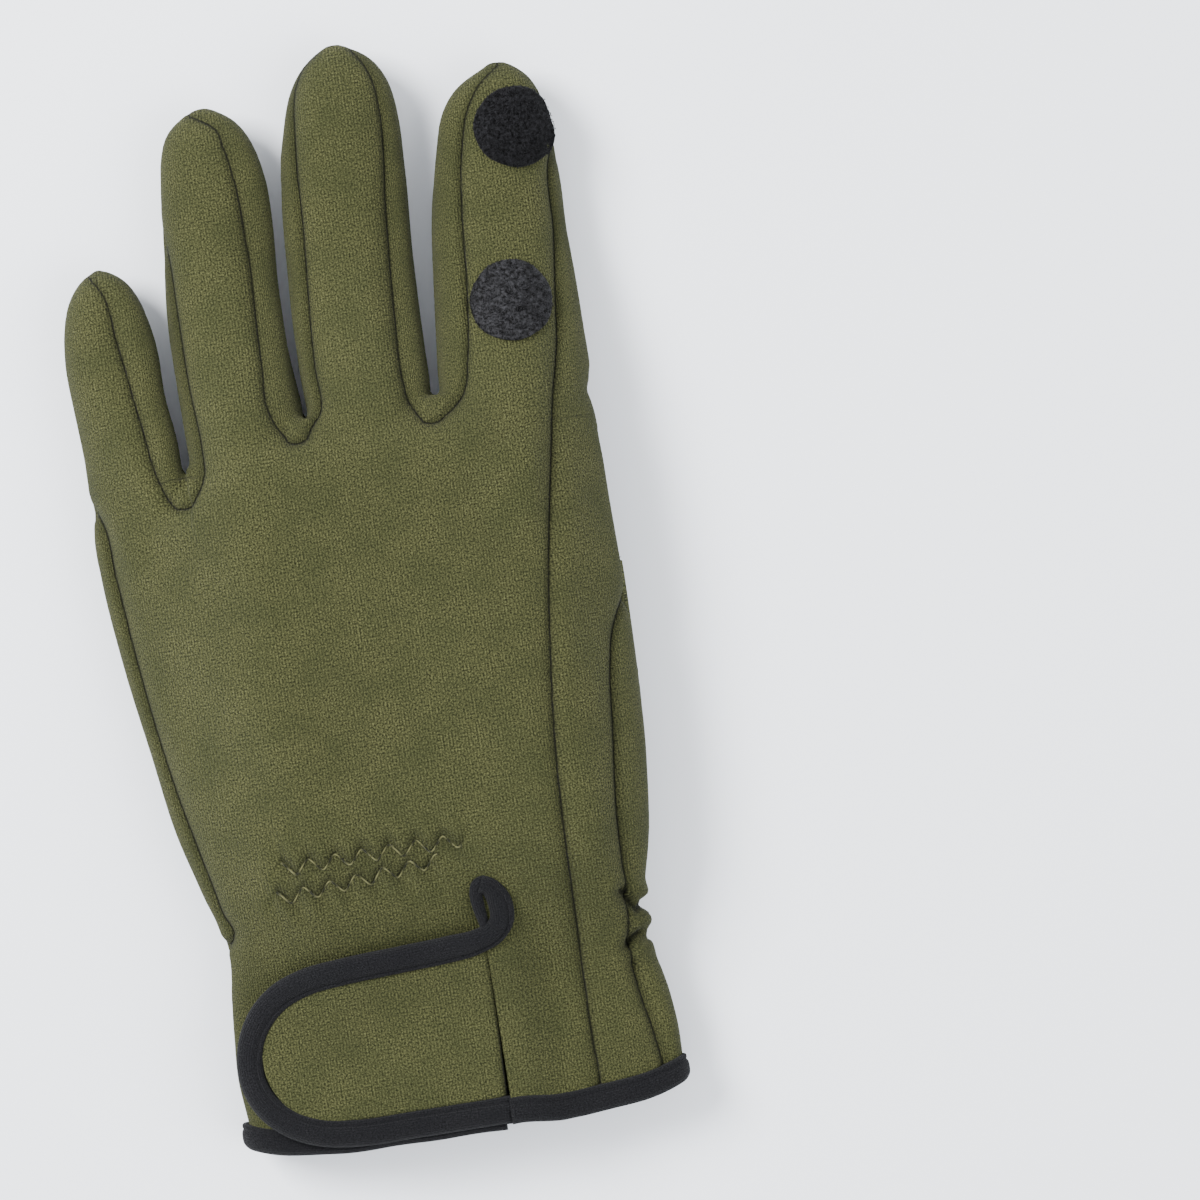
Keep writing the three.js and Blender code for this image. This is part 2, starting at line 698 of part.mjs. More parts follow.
// The floor presses the lowest places flat
const pressed = boxPrism(-150, 150, -100, 350, -40, flattened);
const glove = new THREE.Group();
for (const [name, [solid, look]] of Object.entries(nodes)) {
  const whole = solid.subtract(pressed);
  const { vertProperties, triVerts } = biggest(whole).getMesh();
  const geometry = new THREE.BufferGeometry();
  geometry.setAttribute("position", new THREE.BufferAttribute(vertProperties, 3));
  geometry.setIndex(new THREE.BufferAttribute(triVerts, 1));
  geometry.computeVertexNormals();
  const mesh = new THREE.Mesh(geometry, new THREE.MeshStandardMaterial(look));
  mesh.name = name;
  glove.add(mesh);
}

// The origin is the middle of the underside
const extent = new THREE.Box3().setFromObject(glove);
const centre = extent.getCenter(new THREE.Vector3());
glove.position.set(-centre.x, -centre.y, -extent.min.z);

export default glove;
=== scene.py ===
import math

import bpy
import numpy as np
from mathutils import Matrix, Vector
from mathutils.bvhtree import BVHTree


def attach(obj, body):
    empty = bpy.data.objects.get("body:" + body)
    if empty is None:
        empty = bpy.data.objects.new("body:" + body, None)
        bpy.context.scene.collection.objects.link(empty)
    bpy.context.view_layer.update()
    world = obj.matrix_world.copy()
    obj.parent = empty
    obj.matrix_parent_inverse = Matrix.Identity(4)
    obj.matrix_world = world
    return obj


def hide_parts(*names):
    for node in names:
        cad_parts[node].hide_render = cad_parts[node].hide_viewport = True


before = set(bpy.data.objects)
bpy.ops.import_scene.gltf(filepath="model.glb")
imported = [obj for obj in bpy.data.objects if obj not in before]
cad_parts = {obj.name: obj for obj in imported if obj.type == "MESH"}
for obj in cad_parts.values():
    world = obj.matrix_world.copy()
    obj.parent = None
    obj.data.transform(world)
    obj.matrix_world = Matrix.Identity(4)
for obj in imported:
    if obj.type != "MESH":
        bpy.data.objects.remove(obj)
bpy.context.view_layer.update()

HAND_IN_ROW = np.array([4.439, -125.636, -0.4])
HALF_WIDTH = 63.0
PALM_LENGTH = 170.0
PALM_THICKNESS = 22.0
FINGER_THICKNESS = 20.0
CLOTH = 2.4
CUFF_BOW = 4.5
MIDDLE_HEIGHT = 10.3
LIFT = 14.85
FLOOR = 0.4
THUMB_LENGTH = 103.0
THUMB_WIDTH = 46.0
THUMB_THICKNESS = 11.0
THUMB_HEIGHT = 1.85
THUMB_TURN = math.radians(42.6)
THUMB_GRIP_FROM = 0.33 * THUMB_LENGTH
THUMB_FOLD = 0.5665 * THUMB_LENGTH
THUMB_ROOT_X = 0.825 * HALF_WIDTH
THUMB_ROOT_Y = 0.482 * PALM_LENGTH
SHELL_FROM_X = 44.0
SHELL_TO_Y = 126.0
SHELL_SEAM_Y = 126.65
STRIPS_FROM_Y = 139.4
INDEX_REACH = -18.0
FOLD_GAP = 0.6
ZIGZAG_PITCH = 6.5
DISC_RADIUS = 9.9
DISC_SIDES = 56
SEAM_X = 12.2
SLIT_X = 11.4
SLIT_TOP = 55.0
TAB_OVER = 5.0
TAB_LENGTH = 58.3
TAB_WIDTH = 33.5
TAB_LOW = 1.8
BINDING = 6.3
PALM_POWER = 3.4
FINGER_POWER = 2.3
THUMB_POWER = 2.8
VOXEL = 0.8

# Outline of the hand: how far up it, its left and right edge and its thickness, as shares
PALM = np.array([
    [-0.2, -0.841, 0.849, 0.765], [0, -0.841, 0.849, 0.765], [0.06, -0.854, 0.848, 0.76],
    [0.15, -0.846, 0.824, 0.75], [0.2, -0.835, 0.792, 0.74], [0.26, -0.814, 0.806, 0.75],
    [0.36, -0.878, 0.868, 0.84], [0.45, -0.94, 0.892, 0.92], [0.57, -0.992, 0.917, 1],
    [0.69, -1.037, 0.921, 1], [0.81, -1.067, 0.919, 1], [0.9, -1.071, 0.916, 0.97],
    [0.97, -1.06, 0.9, 0.84], [1.01, -1.02, 0.87, 0.56],
])

# Fingers: middle at the crotch, start, length, width and lean, then rows like the hand's and the seams on the back
FINGERS = [
    {
        "x": -0.866, "start": 0.929, "length": 55.8, "width": 24.7, "lean": -2.1,
        "rows": [[0, -1.03, 1, 1], [0.2, -1, 1.03, 0.98], [0.4, -1.01, 0.95, 0.96], [0.6, -1, 0.96, 0.93],
                 [0.75, -0.9, 0.88, 0.86], [0.86, -0.72, 0.72, 0.72], [0.93, -0.49, 0.54, 0.54],
                 [0.98, -0.22, 0.28, 0.29]],
        "left": [[0.1, -1.25], [1.06, -1.25]],
        "right": [[-0.05, 0.6], [0.04, 0.46], [0.31, 0.32], [0.66, 0.17], [0.91, 0.01], [0.98, -0.19]],
    },
    {
        "x": -0.435, "start": 1, "length": 78.4, "width": 29.5, "lean": 2.4,
        "rows": [[0, -0.98, 1.06, 1], [0.2, -1.03, 0.97, 0.99], [0.4, -1.05, 0.93, 0.98], [0.6, -1, 0.95, 0.95],
                 [0.75, -0.92, 0.92, 0.89], [0.86, -0.83, 0.77, 0.76], [0.93, -0.68, 0.57, 0.57],
                 [0.98, -0.38, 0.27, 0.31]],
        "left": [[-0.2, -0.93], [-0.14, -0.76], [-0.05, -0.74], [0.16, -0.84], [0.4, -0.9], [0.56, -0.95],
                 [0.66, -1.05], [1.06, -1.05]],
        "right": [[-0.06, 0.77], [0.03, 0.55], [0.19, 0.51], [0.59, 0.48], [0.77, 0.39], [0.86, 0.28],
                  [0.93, 0.14], [0.98, -0.25]],
    },
    {
        "x": 0.054, "start": 1.018, "length": 85.8, "width": 31.8, "lean": 5,
        "rows": [[0, -0.94, 0.99, 1], [0.2, -1.05, 0.96, 0.99], [0.4, -1.08, 0.93, 0.98], [0.6, -1.04, 0.94, 0.96],
                 [0.76, -0.93, 0.92, 0.89], [0.87, -0.77, 0.8, 0.75], [0.94, -0.54, 0.57, 0.55],
                 [0.985, -0.24, 0.23, 0.28]],
        "left": [[-0.08, -0.9], [-0.03, -0.76], [0.1, -0.78], [0.51, -0.76], [0.78, -0.75], [0.85, -0.7],
                 [0.91, -0.59], [0.96, -0.4], [0.99, -0.15]],
        "right": [[-0.09, 0.83], [-0.05, 0.71], [0, 0.65], [0.24, 0.59], [0.5, 0.61], [0.79, 0.65], [0.87, 0.57],
                  [0.93, 0.43], [0.97, 0.27]],
    },
    {
        "x": 0.614, "start": 1.018, "length": 75.6, "width": 34.6, "lean": 6,
        "rows": [[0, -1.02, 1.1, 1], [0.2, -1.02, 1.02, 0.99], [0.4, -1, 0.96, 0.98], [0.6, -0.96, 0.92, 0.95],
                 [0.75, -0.86, 0.86, 0.88], [0.86, -0.72, 0.74, 0.74], [0.93, -0.49, 0.58, 0.55],
                 [0.98, -0.12, 0.34, 0.29]],
        "left": [[-0.1, -0.97], [-0.07, -0.8], [-0.02, -0.68], [0.06, -0.62], [0.23, -0.56], [0.56, -0.54],
                 [0.73, -0.48], [0.88, -0.28], [0.93, -0.13], [0.98, 0.13]],
        "right": [[0.08, 0.72], [0.24, 0.75], [0.42, 0.8], [0.69, 0.87], [0.78, 1.1], [1.06, 1.1]],
    },
]
INDEX = FINGERS[3]

# Seams on the hand: shares of the palm's length and of half the hand's width
LITTLE_SIDE_SEAM = [[-0.1, -1], [0.25, -1], [0.279, -0.81], [0.329, -0.819], [0.405, -0.86], [0.504, -0.916],
                    [0.606, -0.96], [0.704, -0.99], [0.816, -1.017], [0.899, -1.043], [0.95, -1.13]]
INDEX_SIDE_SEAM = [[-0.1, 0.532], [0.119, 0.525], [0.228, 0.533], [0.336, 0.541], [0.492, 0.562], [0.582, 0.587],
                   [0.662, 0.616], [0.919, 0.743], [0.97, 0.77]]
THUMB_SIDE_SEAM = [[-0.1, 0.79], [0.023, 0.778], [0.071, 0.76], [0.126, 0.733], [0.192, 0.722], [0.262, 0.745],
                   [0.389, 0.765], [0.501, 0.8], [0.591, 0.829], [0.643, 0.863], [0.72, 1]]
GRIP_LITTLE_SIDE = [[-0.1, -0.62], [0.12, -0.63], [0.217, -0.6], [0.359, -0.692], [0.6, -0.84], [0.8, -0.92],
                    [0.93, -0.956]]
GRIP_THUMB_SIDE = [[-0.1, 0.524], [0.312, 0.524], [0.724, 0.722], [0.75, 0.98], [0.85, 0.98], [0.92, 0.873]]
CROTCHES = [[0.9, -0.706], [0.968, -0.22], [0.967, 0.297]]

# Thumb: how far along it, its edge towards the cuff, the other edge, its thickness and how far it rises
THUMB = np.array([
    [0.02, 1.3, -0.37, 1, 0.42], [0.11, 1.21, -0.73, 1, 0.36], [0.25, 1.12, -1.02, 1, 0.14],
    [0.42, 1.06, -0.97, 1, 0], [0.6, 1.03, -0.86, 1, 0], [0.76, 0.98, -0.78, 1, 0], [0.86, 0.87, -0.76, 0.94, 0],
    [0.93, 0.62, -0.68, 0.82, 0], [0.98, 0.25, -0.45, 0.58, 0],
])

# Rings close together where a finger or the thumb rounds off
TIP_STEPS = 1 - np.linspace(0.31, 0.03, 14) ** 2


def smooth(low, high, value):
    share = np.clip((value - low) / (high - low), 0, 1)
    return share * share * (3 - 2 * share)


def spline(rows, at):
    """Every column of a table at the places given, on a curve through its rows."""
    rows = np.asarray(rows, float)
    keys = rows[:, 0]
    values = rows[:, 1:]
    slopes = np.gradient(values, keys, axis=0)
    at = np.clip(np.asarray(at, float), keys[0], keys[-1])
    i = np.clip(np.searchsorted(keys, at, side="right") - 1, 0, len(keys) - 2)
    step = (keys[i + 1] - keys[i])[..., None]
    t = ((at - keys[i])[..., None]) / step
    return (
        (2 * t**3 - 3 * t**2 + 1) * values[i]
        + (t**3 - 2 * t**2 + t) * step * slopes[i]
        + (3 * t**2 - 2 * t**3) * values[i + 1]
        + (t**3 - t**2) * step * slopes[i + 1]
    )


def lift(x, y):
    """How high the folded thumb holds the hand off the floor."""
    y = y / PALM_LENGTH
    x = x / HALF_WIDTH
    along = smooth(0.12, 0.4, y) * (1 - smooth(0.9, 1.27, y))
    return LIFT * along * smooth(-1.08, -0.4, x) * (1 - 0.5 * smooth(0.6, 0.95, x))


def raised(x, y):
    """How high the tab's layers lift the part of the cuff that the tab is sewn to."""
    return TAB_OVER * (1 - smooth(SEAM_X + 2, 27, x)) * (1 - smooth(34, SLIT_TOP, y))


def bowed(x, y):
    """The cuff's edge is bowed, and the line of the crotches falls away to the little finger."""
    near_cuff = 1 - smooth(0, 34, y)
    near_fingers = smooth(144.5, 170, y)
    side = np.minimum(1.1, np.abs(x / HALF_WIDTH) / 0.86)
    return y + near_cuff * CUFF_BOW * side**4 - near_fingers * 10.2 * smooth(0.4, 0.7, -x / HALF_WIDTH)


def middle_level(x, y):
    return lift(x, y) + MIDDLE_HEIGHT


def palm_section(y):
    """The middle of the hand, half its width and half its thickness, some way up it."""
    left, right, thick = spline(PALM, y / PALM_LENGTH).T
    return (left + right) / 2 * HALF_WIDTH, (right - left) / 2 * HALF_WIDTH, thick * PALM_THICKNESS / 2


def with_round_tip(rows, *rise):
    """A table with a row for the tip, its first column changed so that a curve through it ends round."""
    rows = np.array(rows, float)
    middle = (rows[-1, 1] + rows[-1, 2]) / 2
    rows = np.vstack([rows, [1, middle, middle, 0.01, *rise]])
    rows[:, 0] = -np.sqrt(1 - rows[:, 0])
    return rows


def run_along(points):
    """The length of a line of points up to each of them."""
    return np.concatenate([[0], np.cumsum(np.linalg.norm(np.diff(points, axis=0), axis=1))])


def points_at(points, run, at):
    """The places at the given lengths along a line of points."""
    return np.column_stack([np.interp(at, run, column) for column in points.T])


def round_section(left, right, half, power, count):
    """Points evenly in angle round a section between a circle and a box."""
    angle = 2 * math.pi * (np.arange(count) + 0.5) / count
    c = np.cos(angle)
    s = np.sin(angle)
    across = (left + right) / 2 - (right - left) / 2 * np.sign(c) * np.abs(c) ** (2 / power)
    return across, half * np.sign(s) * np.abs(s) ** (2 / power)


def finger_y(finger, at):
    return finger["start"] * PALM_LENGTH + at * finger["length"]


def finger_x(finger, at, share):
    return finger["x"] * HALF_WIDTH + finger["lean"] * at + share * finger["width"] / 2


def finger_row(finger, at):
    """A finger's left and right edge and thickness, running smoothly into its round tip."""
    return spline(with_round_tip(finger["rows"]), -np.sqrt(np.maximum(0, 1 - np.maximum(at, 0))))


def slit_lines(y):
    """Where each slit between two fingers runs, for every height given."""
    lines = []
    for low, high in zip(FINGERS, FINGERS[1:]):
        shares = [np.clip((y - finger_y(f, 0)) / f["length"], 0, 0.9) for f in (low, high)]
        right = finger_x(low, shares[0], finger_row(low, shares[0])[..., 1])
        left = finger_x(high, shares[1], finger_row(high, shares[1])[..., 0])
        lines.append((right + left) / 2)
    return lines


def spread_of(y):
    """How far each finger stands aside while its skin is made, so that the slits come out clean."""
    gaps = [4.4 * smooth(centre - 13, centre + 4, y) for centre in (156, 167, 167)]
    return [-gaps[0] - gaps[1] / 2, -gaps[1] / 2, gaps[1] / 2, gaps[1] / 2 + gaps[2]]


def close_fingers(x, y):
    """Brings the fingers back together without letting one pass into the next."""
    shift = spread_of(y)
    result = x - shift[0]
    edge = 0.14
    for i, line in enumerate(slit_lines(y)):
        start = line - edge + shift[i]
        end = line + edge + shift[i + 1]
        inside = line - edge + 2 * edge * (x - start) / (end - start)
        result = np.where(x > start, np.where(x < end, inside, x - shift[i + 1]), result)
    return result


def spread_palm(x, y):
    shift = spread_of(y)
    result = x + shift[0]
    for i, line in enumerate(slit_lines(y)):
        share = np.clip((x - line + 4) / 8, 0, 1)
        result = np.where(x > line - 4, x + shift[i] + share * (shift[i + 1] - shift[i]), result)
    return result


def thumb_place(along, across):
    x = THUMB_ROOT_X - along * math.sin(THUMB_TURN) - across * math.cos(THUMB_TURN)
    y = THUMB_ROOT_Y + along * math.cos(THUMB_TURN) - across * math.sin(THUMB_TURN)
    return x, y


def on_thumb(x, y):
    """How far along the thumb a place is, and how far across it."""
    dx = x - THUMB_ROOT_X
    dy = y - THUMB_ROOT_Y
    along = dy * math.cos(THUMB_TURN) - dx * math.sin(THUMB_TURN)
    return along, -dx * math.cos(THUMB_TURN) - dy * math.sin(THUMB_TURN)


def loft(rings):
    """A closed skin over rings of points, as points and faces."""
    count = len(rings[0])
    points = np.vstack(rings)
    faces = []
    for r in range(len(rings) - 1):
        for i in range(count):
            a = r * count + i
            b = r * count + (i + 1) % count
            faces.append((a, b, b + count, a + count))
    faces.append(tuple(range(count))[::-1])
    faces.append(tuple(range((len(rings) - 1) * count, len(rings) * count)))
    return points, faces


def palm_rings():
    rings = []
    for y in np.arange(-20, 171.8, 1.6):
        left, right, thick = spline(PALM, y / PALM_LENGTH)
        across, high = round_section(left * HALF_WIDTH, right * HALF_WIDTH, thick * PALM_THICKNESS / 2, PALM_POWER, 120)
        place_y = bowed(across, np.full_like(across, y))
        rings.append(np.column_stack([spread_palm(across, place_y), place_y, middle_level(across, y) + high]))
    return rings


def finger_rings(number):
    finger = FINGERS[number]
    depth = 34 / finger["length"]
    steps = np.concatenate([np.linspace(-depth, 0, 16), np.linspace(0, 0.9, 44)[1:], TIP_STEPS])
    rings = []
    for at in steps:
        narrow = np.interp(at, [-depth, -0.4 * depth, 0], [0.8, 0.93, 1])
        left, right, thick = finger_row(finger, at)
        edges = [finger_x(finger, at, narrow * left), finger_x(finger, at, narrow * right)]
        across, high = round_section(*edges, thick * narrow * FINGER_THICKNESS / 2, FINGER_POWER, 56)
        y = np.full_like(across, finger_y(finger, at))
        rings.append(np.column_stack([across + spread_of(y)[number], y, middle_level(across, y) + high]))
    return rings


def thumb_rings():
    rows = with_round_tip(THUMB, 0)
    rings = []
    for at in np.concatenate([np.linspace(0.02, 0.9, 56), TIP_STEPS]):
        low, high_edge, thick, rise = spline(rows, -math.sqrt(1 - at))
        wide = THUMB_WIDTH / 2
        across, high = round_section(wide * low, wide * high_edge, thick * THUMB_THICKNESS / 2, THUMB_POWER, 64)
        x, y = thumb_place(at * THUMB_LENGTH, across)
        level = THUMB_HEIGHT + THUMB_THICKNESS / 2 + rise * LIFT
        rings.append(np.column_stack([x, y, level + high]))
    return rings


def mesh_of(name, points, faces):
    mesh = bpy.data.meshes.new(name)
    mesh.from_pydata([tuple(p) for p in points], [], [tuple(int(i) for i in f) for f in faces])
    mesh.update()
    return mesh


def object_of(name, mesh):
    made = bpy.data.objects.new(name, mesh)
    bpy.context.scene.collection.objects.link(made)
    return made


def baked(made):
    """The mesh of an object with its modifiers applied; the object goes."""
    bpy.context.view_layer.update()
    result = bpy.data.meshes.new_from_object(made.evaluated_get(bpy.context.evaluated_depsgraph_get()))
    result.name = made.name
    bpy.data.objects.remove(made)
    return result


def one_skin():
    """The outside of the hand and thumb, made even with the fingers apart and then closed, and where x was before."""
    points = []
    faces = []
    start = 0
    for rings in [palm_rings(), *[finger_rings(i) for i in range(4)], thumb_rings()]:
        part_points, part_faces = loft(rings)
        points.append(part_points)
        faces.extend(tuple(i + start for i in f) for f in part_faces)
        start += len(part_points)
    body = object_of("skin_form", mesh_of("skin_form", np.vstack(points), faces))
    remesh = body.modifiers.new("even", "REMESH")
    remesh.mode = "VOXEL"
    remesh.voxel_size = VOXEL
    evened = body.modifiers.new("soften", "SMOOTH")
    evened.factor = 0.5
    evened.iterations = 7
    mesh = baked(body)
    mesh.calc_loop_triangles()
    points = np.zeros(len(mesh.vertices) * 3)
    mesh.vertices.foreach_get("co", points)
    triangles = np.zeros(len(mesh.loop_triangles) * 3, int)
    mesh.loop_triangles.foreach_get("vertices", triangles)
    points = points.reshape(-1, 3)
    x = close_fingers(points[:, 0], points[:, 1])
    return np.column_stack([x, points[:, 1:]]), triangles.reshape(-1, 3), points[:, 0]


def resampled(rows, step=0.02):
    """A seam's table with many more rows on a curve through them."""
    rows = np.array(rows, float)
    if len(rows) == 1:
        return rows
    at = np.arange(rows[0, 0], rows[-1, 0] + step / 2, step)
    return np.column_stack([at, spline(rows, at)[:, 0]])


def hand_seam(rows):
    return [(x * HALF_WIDTH, at * PALM_LENGTH) for at, x in resampled(rows, 0.012)]


def finger_seam(finger, rows):
    return [(finger_x(finger, at, x), finger_y(finger, at)) for at, x in resampled(rows)]


def panel_outline(little_side, thumb_side, on_palm):
    """The outline of a panel that covers the hand and its four fingers."""
    outline = hand_seam(little_side)
    for i, finger in enumerate(FINGERS):
        left = finger["left"]
        right = finger["right"]
        if on_palm:
            mirrored = [[[at, min(0.93, max(-0.93, -x))] for at, x in rows if at < 1] for rows in (right, left)]
            left, right = mirrored
        outline += finger_seam(finger, left)
        outline += [(finger_x(finger, 1.06, rows[-1][1]), finger_y(finger, 1.06)) for rows in (left, right)]
        outline += finger_seam(finger, right)[::-1]
        if i < 3:
            before = outline[-1]
            nadir = (CROTCHES[i][1] * HALF_WIDTH, CROTCHES[i][0] * PALM_LENGTH)
            following = FINGERS[i + 1]
            at, share = following["right" if on_palm else "left"][0]
            after = (finger_x(following, at, -share if on_palm else share), finger_y(following, at))
            outline += rounded(before, nadir, after)
    outline += hand_seam(thumb_side)[::-1]
    return np.array(outline)


def rounded(before, lowest, after, count=9):
    """Points of a round U from the end of one sewn line through its lowest point to the end of the next."""
    before, lowest, after = (np.array(p) for p in (before, lowest, after))
    made = []
    for share in np.linspace(0, math.pi, count)[1:-1]:
        side = before if share < math.pi / 2 else after
        made.append((lowest[0] + (side[0] - lowest[0]) * abs(math.cos(share)) ** 0.9,
                     lowest[1] + (side[1] - lowest[1]) * (1 - math.sin(share)) ** 0.9))
    return made


def away_from(line, x, y, closed=False):
    """Distance in millimetres from a line of points, for many places at once."""
    line = np.array(line, float)
    if closed:
        line = np.vstack([line, line[:1]])
    a = line[:-1]
    d = line[1:] - a
    length = np.maximum((d**2).sum(1), 1e-9)
    result = np.empty(len(x))
    for start in range(0, len(x), 20000):
        px = x[start:start + 20000, None] - a[:, 0]
        py = y[start:start + 20000, None] - a[:, 1]
        t = np.clip((px * d[:, 0] + py * d[:, 1]) / length, 0, 1)
        result[start:start + 20000] = np.sqrt(((px - t * d[:, 0]) ** 2 + (py - t * d[:, 1]) ** 2).min(1))
    return result


def inside_of(outline, x, y):
    """Distance to an outline, above zero within it and below zero outside."""
    distance = away_from(outline, x, y, closed=True)
    following = np.roll(outline, -1, axis=0)
    within = np.zeros(len(x), bool)
    for (ax, ay), (bx, by) in zip(outline, following):
        if ay == by:
            continue
        crosses = (ay > y) != (by > y)
        within ^= crosses & (x < (bx - ax) * (y - ay) / (by - ay) + ax)
    return np.where(within, distance, -distance)


class Skin:
    """Points, triangles and the values that go with each point, which a cut keeps in step."""

    def __init__(self, points, triangles):
        self.points = points
        self.triangles = triangles
        self.values = {}

    def cut(self, name, level=0.0, faces=None):
        """Splits the triangles that a value's level passes through, so that it runs along their edges."""
        value = self.values[name] - level
        value = np.where(np.abs(value) < 0.12, 0, value)
        sign = np.sign(value)
        corner = sign[self.triangles]
        mixed = (corner.max(1) > 0) & (corner.min(1) < 0)
        if faces is not None:
            mixed &= faces
        made = {}
        new_from = []

        def between(a, b):
            key = (a, b) if a < b else (b, a)
            if key not in made:
                made[key] = len(self.points) + len(new_from)
                new_from.append((key[0], key[1], value[key[0]] / (value[key[0]] - value[key[1]])))
            return made[key]

        added = []
        for a, b, c in self.triangles[mixed]:
            while not (sign[a] != 0 and sign[b] * sign[c] <= 0 and sign[b] != sign[a]):
                a, b, c = b, c, a
            if sign[b] == 0:
                if sign[c] == 0 or sign[c] == sign[a]:
                    added.append((a, b, c))
                    continue
                m = between(a, c)
                added += [(a, b, m), (b, c, m)]
            elif sign[c] == 0:
                m = between(a, b)
                added += [(a, m, c), (m, b, c)]
            else:
                m = between(a, b)
                n = between(b, c) if sign[c] == sign[a] else between(a, c)
                if sign[c] == sign[a]:
                    added += [(a, m, c), (m, n, c), (m, b, n)]
                else:
                    added += [(a, m, n), (m, b, n), (b, c, n)]
        if new_from:
            pairs = np.array([(a, b) for a, b, _ in new_from])
            share = np.array([s for _, _, s in new_from])

            def blend(old):
                weight = share.reshape(-1, *[1] * (old.ndim - 1))
                return old[pairs[:, 0]] + weight * (old[pairs[:, 1]] - old[pairs[:, 0]])

            self.points = np.vstack([self.points, blend(self.points)])
            for key, old in self.values.items():
                self.values[key] = np.concatenate([old, blend(old)])
            self.values[name][-len(new_from):] = level
        kept = self.triangles[~mixed]
        if added:
            kept = np.vstack([kept, np.array(added)])
        self.triangles = kept

    def middle(self, name):
        """A value at the middle of every triangle."""
        return self.values[name][self.triangles].mean(1)

    def normals(self):
        """Which way is out at every point, taken where the fingers stand apart."""
        place = np.column_stack([self.values["apart"], self.points[:, 1:]])
        a, b, c = (place[self.triangles[:, i]] for i in range(3))
        face = np.cross(b - a, c - a)
        result = np.zeros_like(self.points)
        for i in range(3):
            np.add.at(result, self.triangles[:, i], face)
        return result / np.maximum(np.linalg.norm(result, axis=1, keepdims=True), 1e-12)


def measure(skin):
    """Gives every point of the skin its distance to each of the seams."""
    x, y, z = skin.points.T
    middle = middle_level(x, y)
    centre, half, high = palm_section(y)
    share = np.clip((x - centre) / half, -0.995, 0.995)
    palm_under = middle - high * (1 - np.abs(share) ** PALM_POWER) ** (1 / PALM_POWER)
    along, across = on_thumb(x, y)
    rows = spline(THUMB, along / THUMB_LENGTH)
    wide = THUMB_WIDTH / 2
    sides = np.minimum(rows[:, 0] * wide + 2 - across, across - rows[:, 1] * wide + 2)
    foot = np.minimum(sides, np.minimum(along, THUMB_LENGTH + 3 - along))
    thumb = np.minimum(palm_under - 0.55 - z, np.where(along < 8, 8, foot))
    side_of_hand = (x > SHELL_FROM_X) & (y < SHELL_TO_Y) & (z < middle)
    thumb = np.where(side_of_hand, np.maximum(thumb, np.minimum(middle - z, SHELL_TO_Y - y)), thumb)
    thumb = np.where(y > 165, -5, thumb)
    back = inside_of(panel_outline(LITTLE_SIDE_SEAM, INDEX_SIDE_SEAM, False), x, y)
    grip = inside_of(panel_outline(GRIP_LITTLE_SIDE, GRIP_THUMB_SIDE, True), x, y)
    side = inside_of(np.array([*hand_seam(THUMB_SIDE_SEAM), (100, 122), (100, -50)]), x, y)
    skin.values = {
        "back": np.minimum(back, z - middle),
        "grip": np.minimum(np.minimum(grip, middle - z), -thumb),
        "thumb": thumb,
        "thumb_side": np.maximum(side, np.minimum(np.minimum(x, SHELL_SEAM_Y - y), middle - z)),
        "thumb_grip": np.minimum(z - THUMB_HEIGHT - THUMB_THICKNESS / 2, along - THUMB_GRIP_FROM),
        "thumb_fold": along - THUMB_FOLD,
        "index_fold": y - finger_y(INDEX, 0.5),
        "cuff": y - bowed(x, np.full_like(x, -4.6)),
        "slit": x - SLIT_X,
    }
    for i, finger in enumerate(FINGERS):
        at = np.clip((y - finger_y(finger, 0)) / finger["length"], -0.2, 1.1)
        skin.values[f"finger_{i}"] = x - finger_x(finger, at, 0)


def untaken(skin):
    """The triangles that are on neither the back, the rubber nor the thumb."""
    return (skin.middle("back") < 0) & (skin.middle("grip") < 0) & (skin.middle("thumb") < 0)


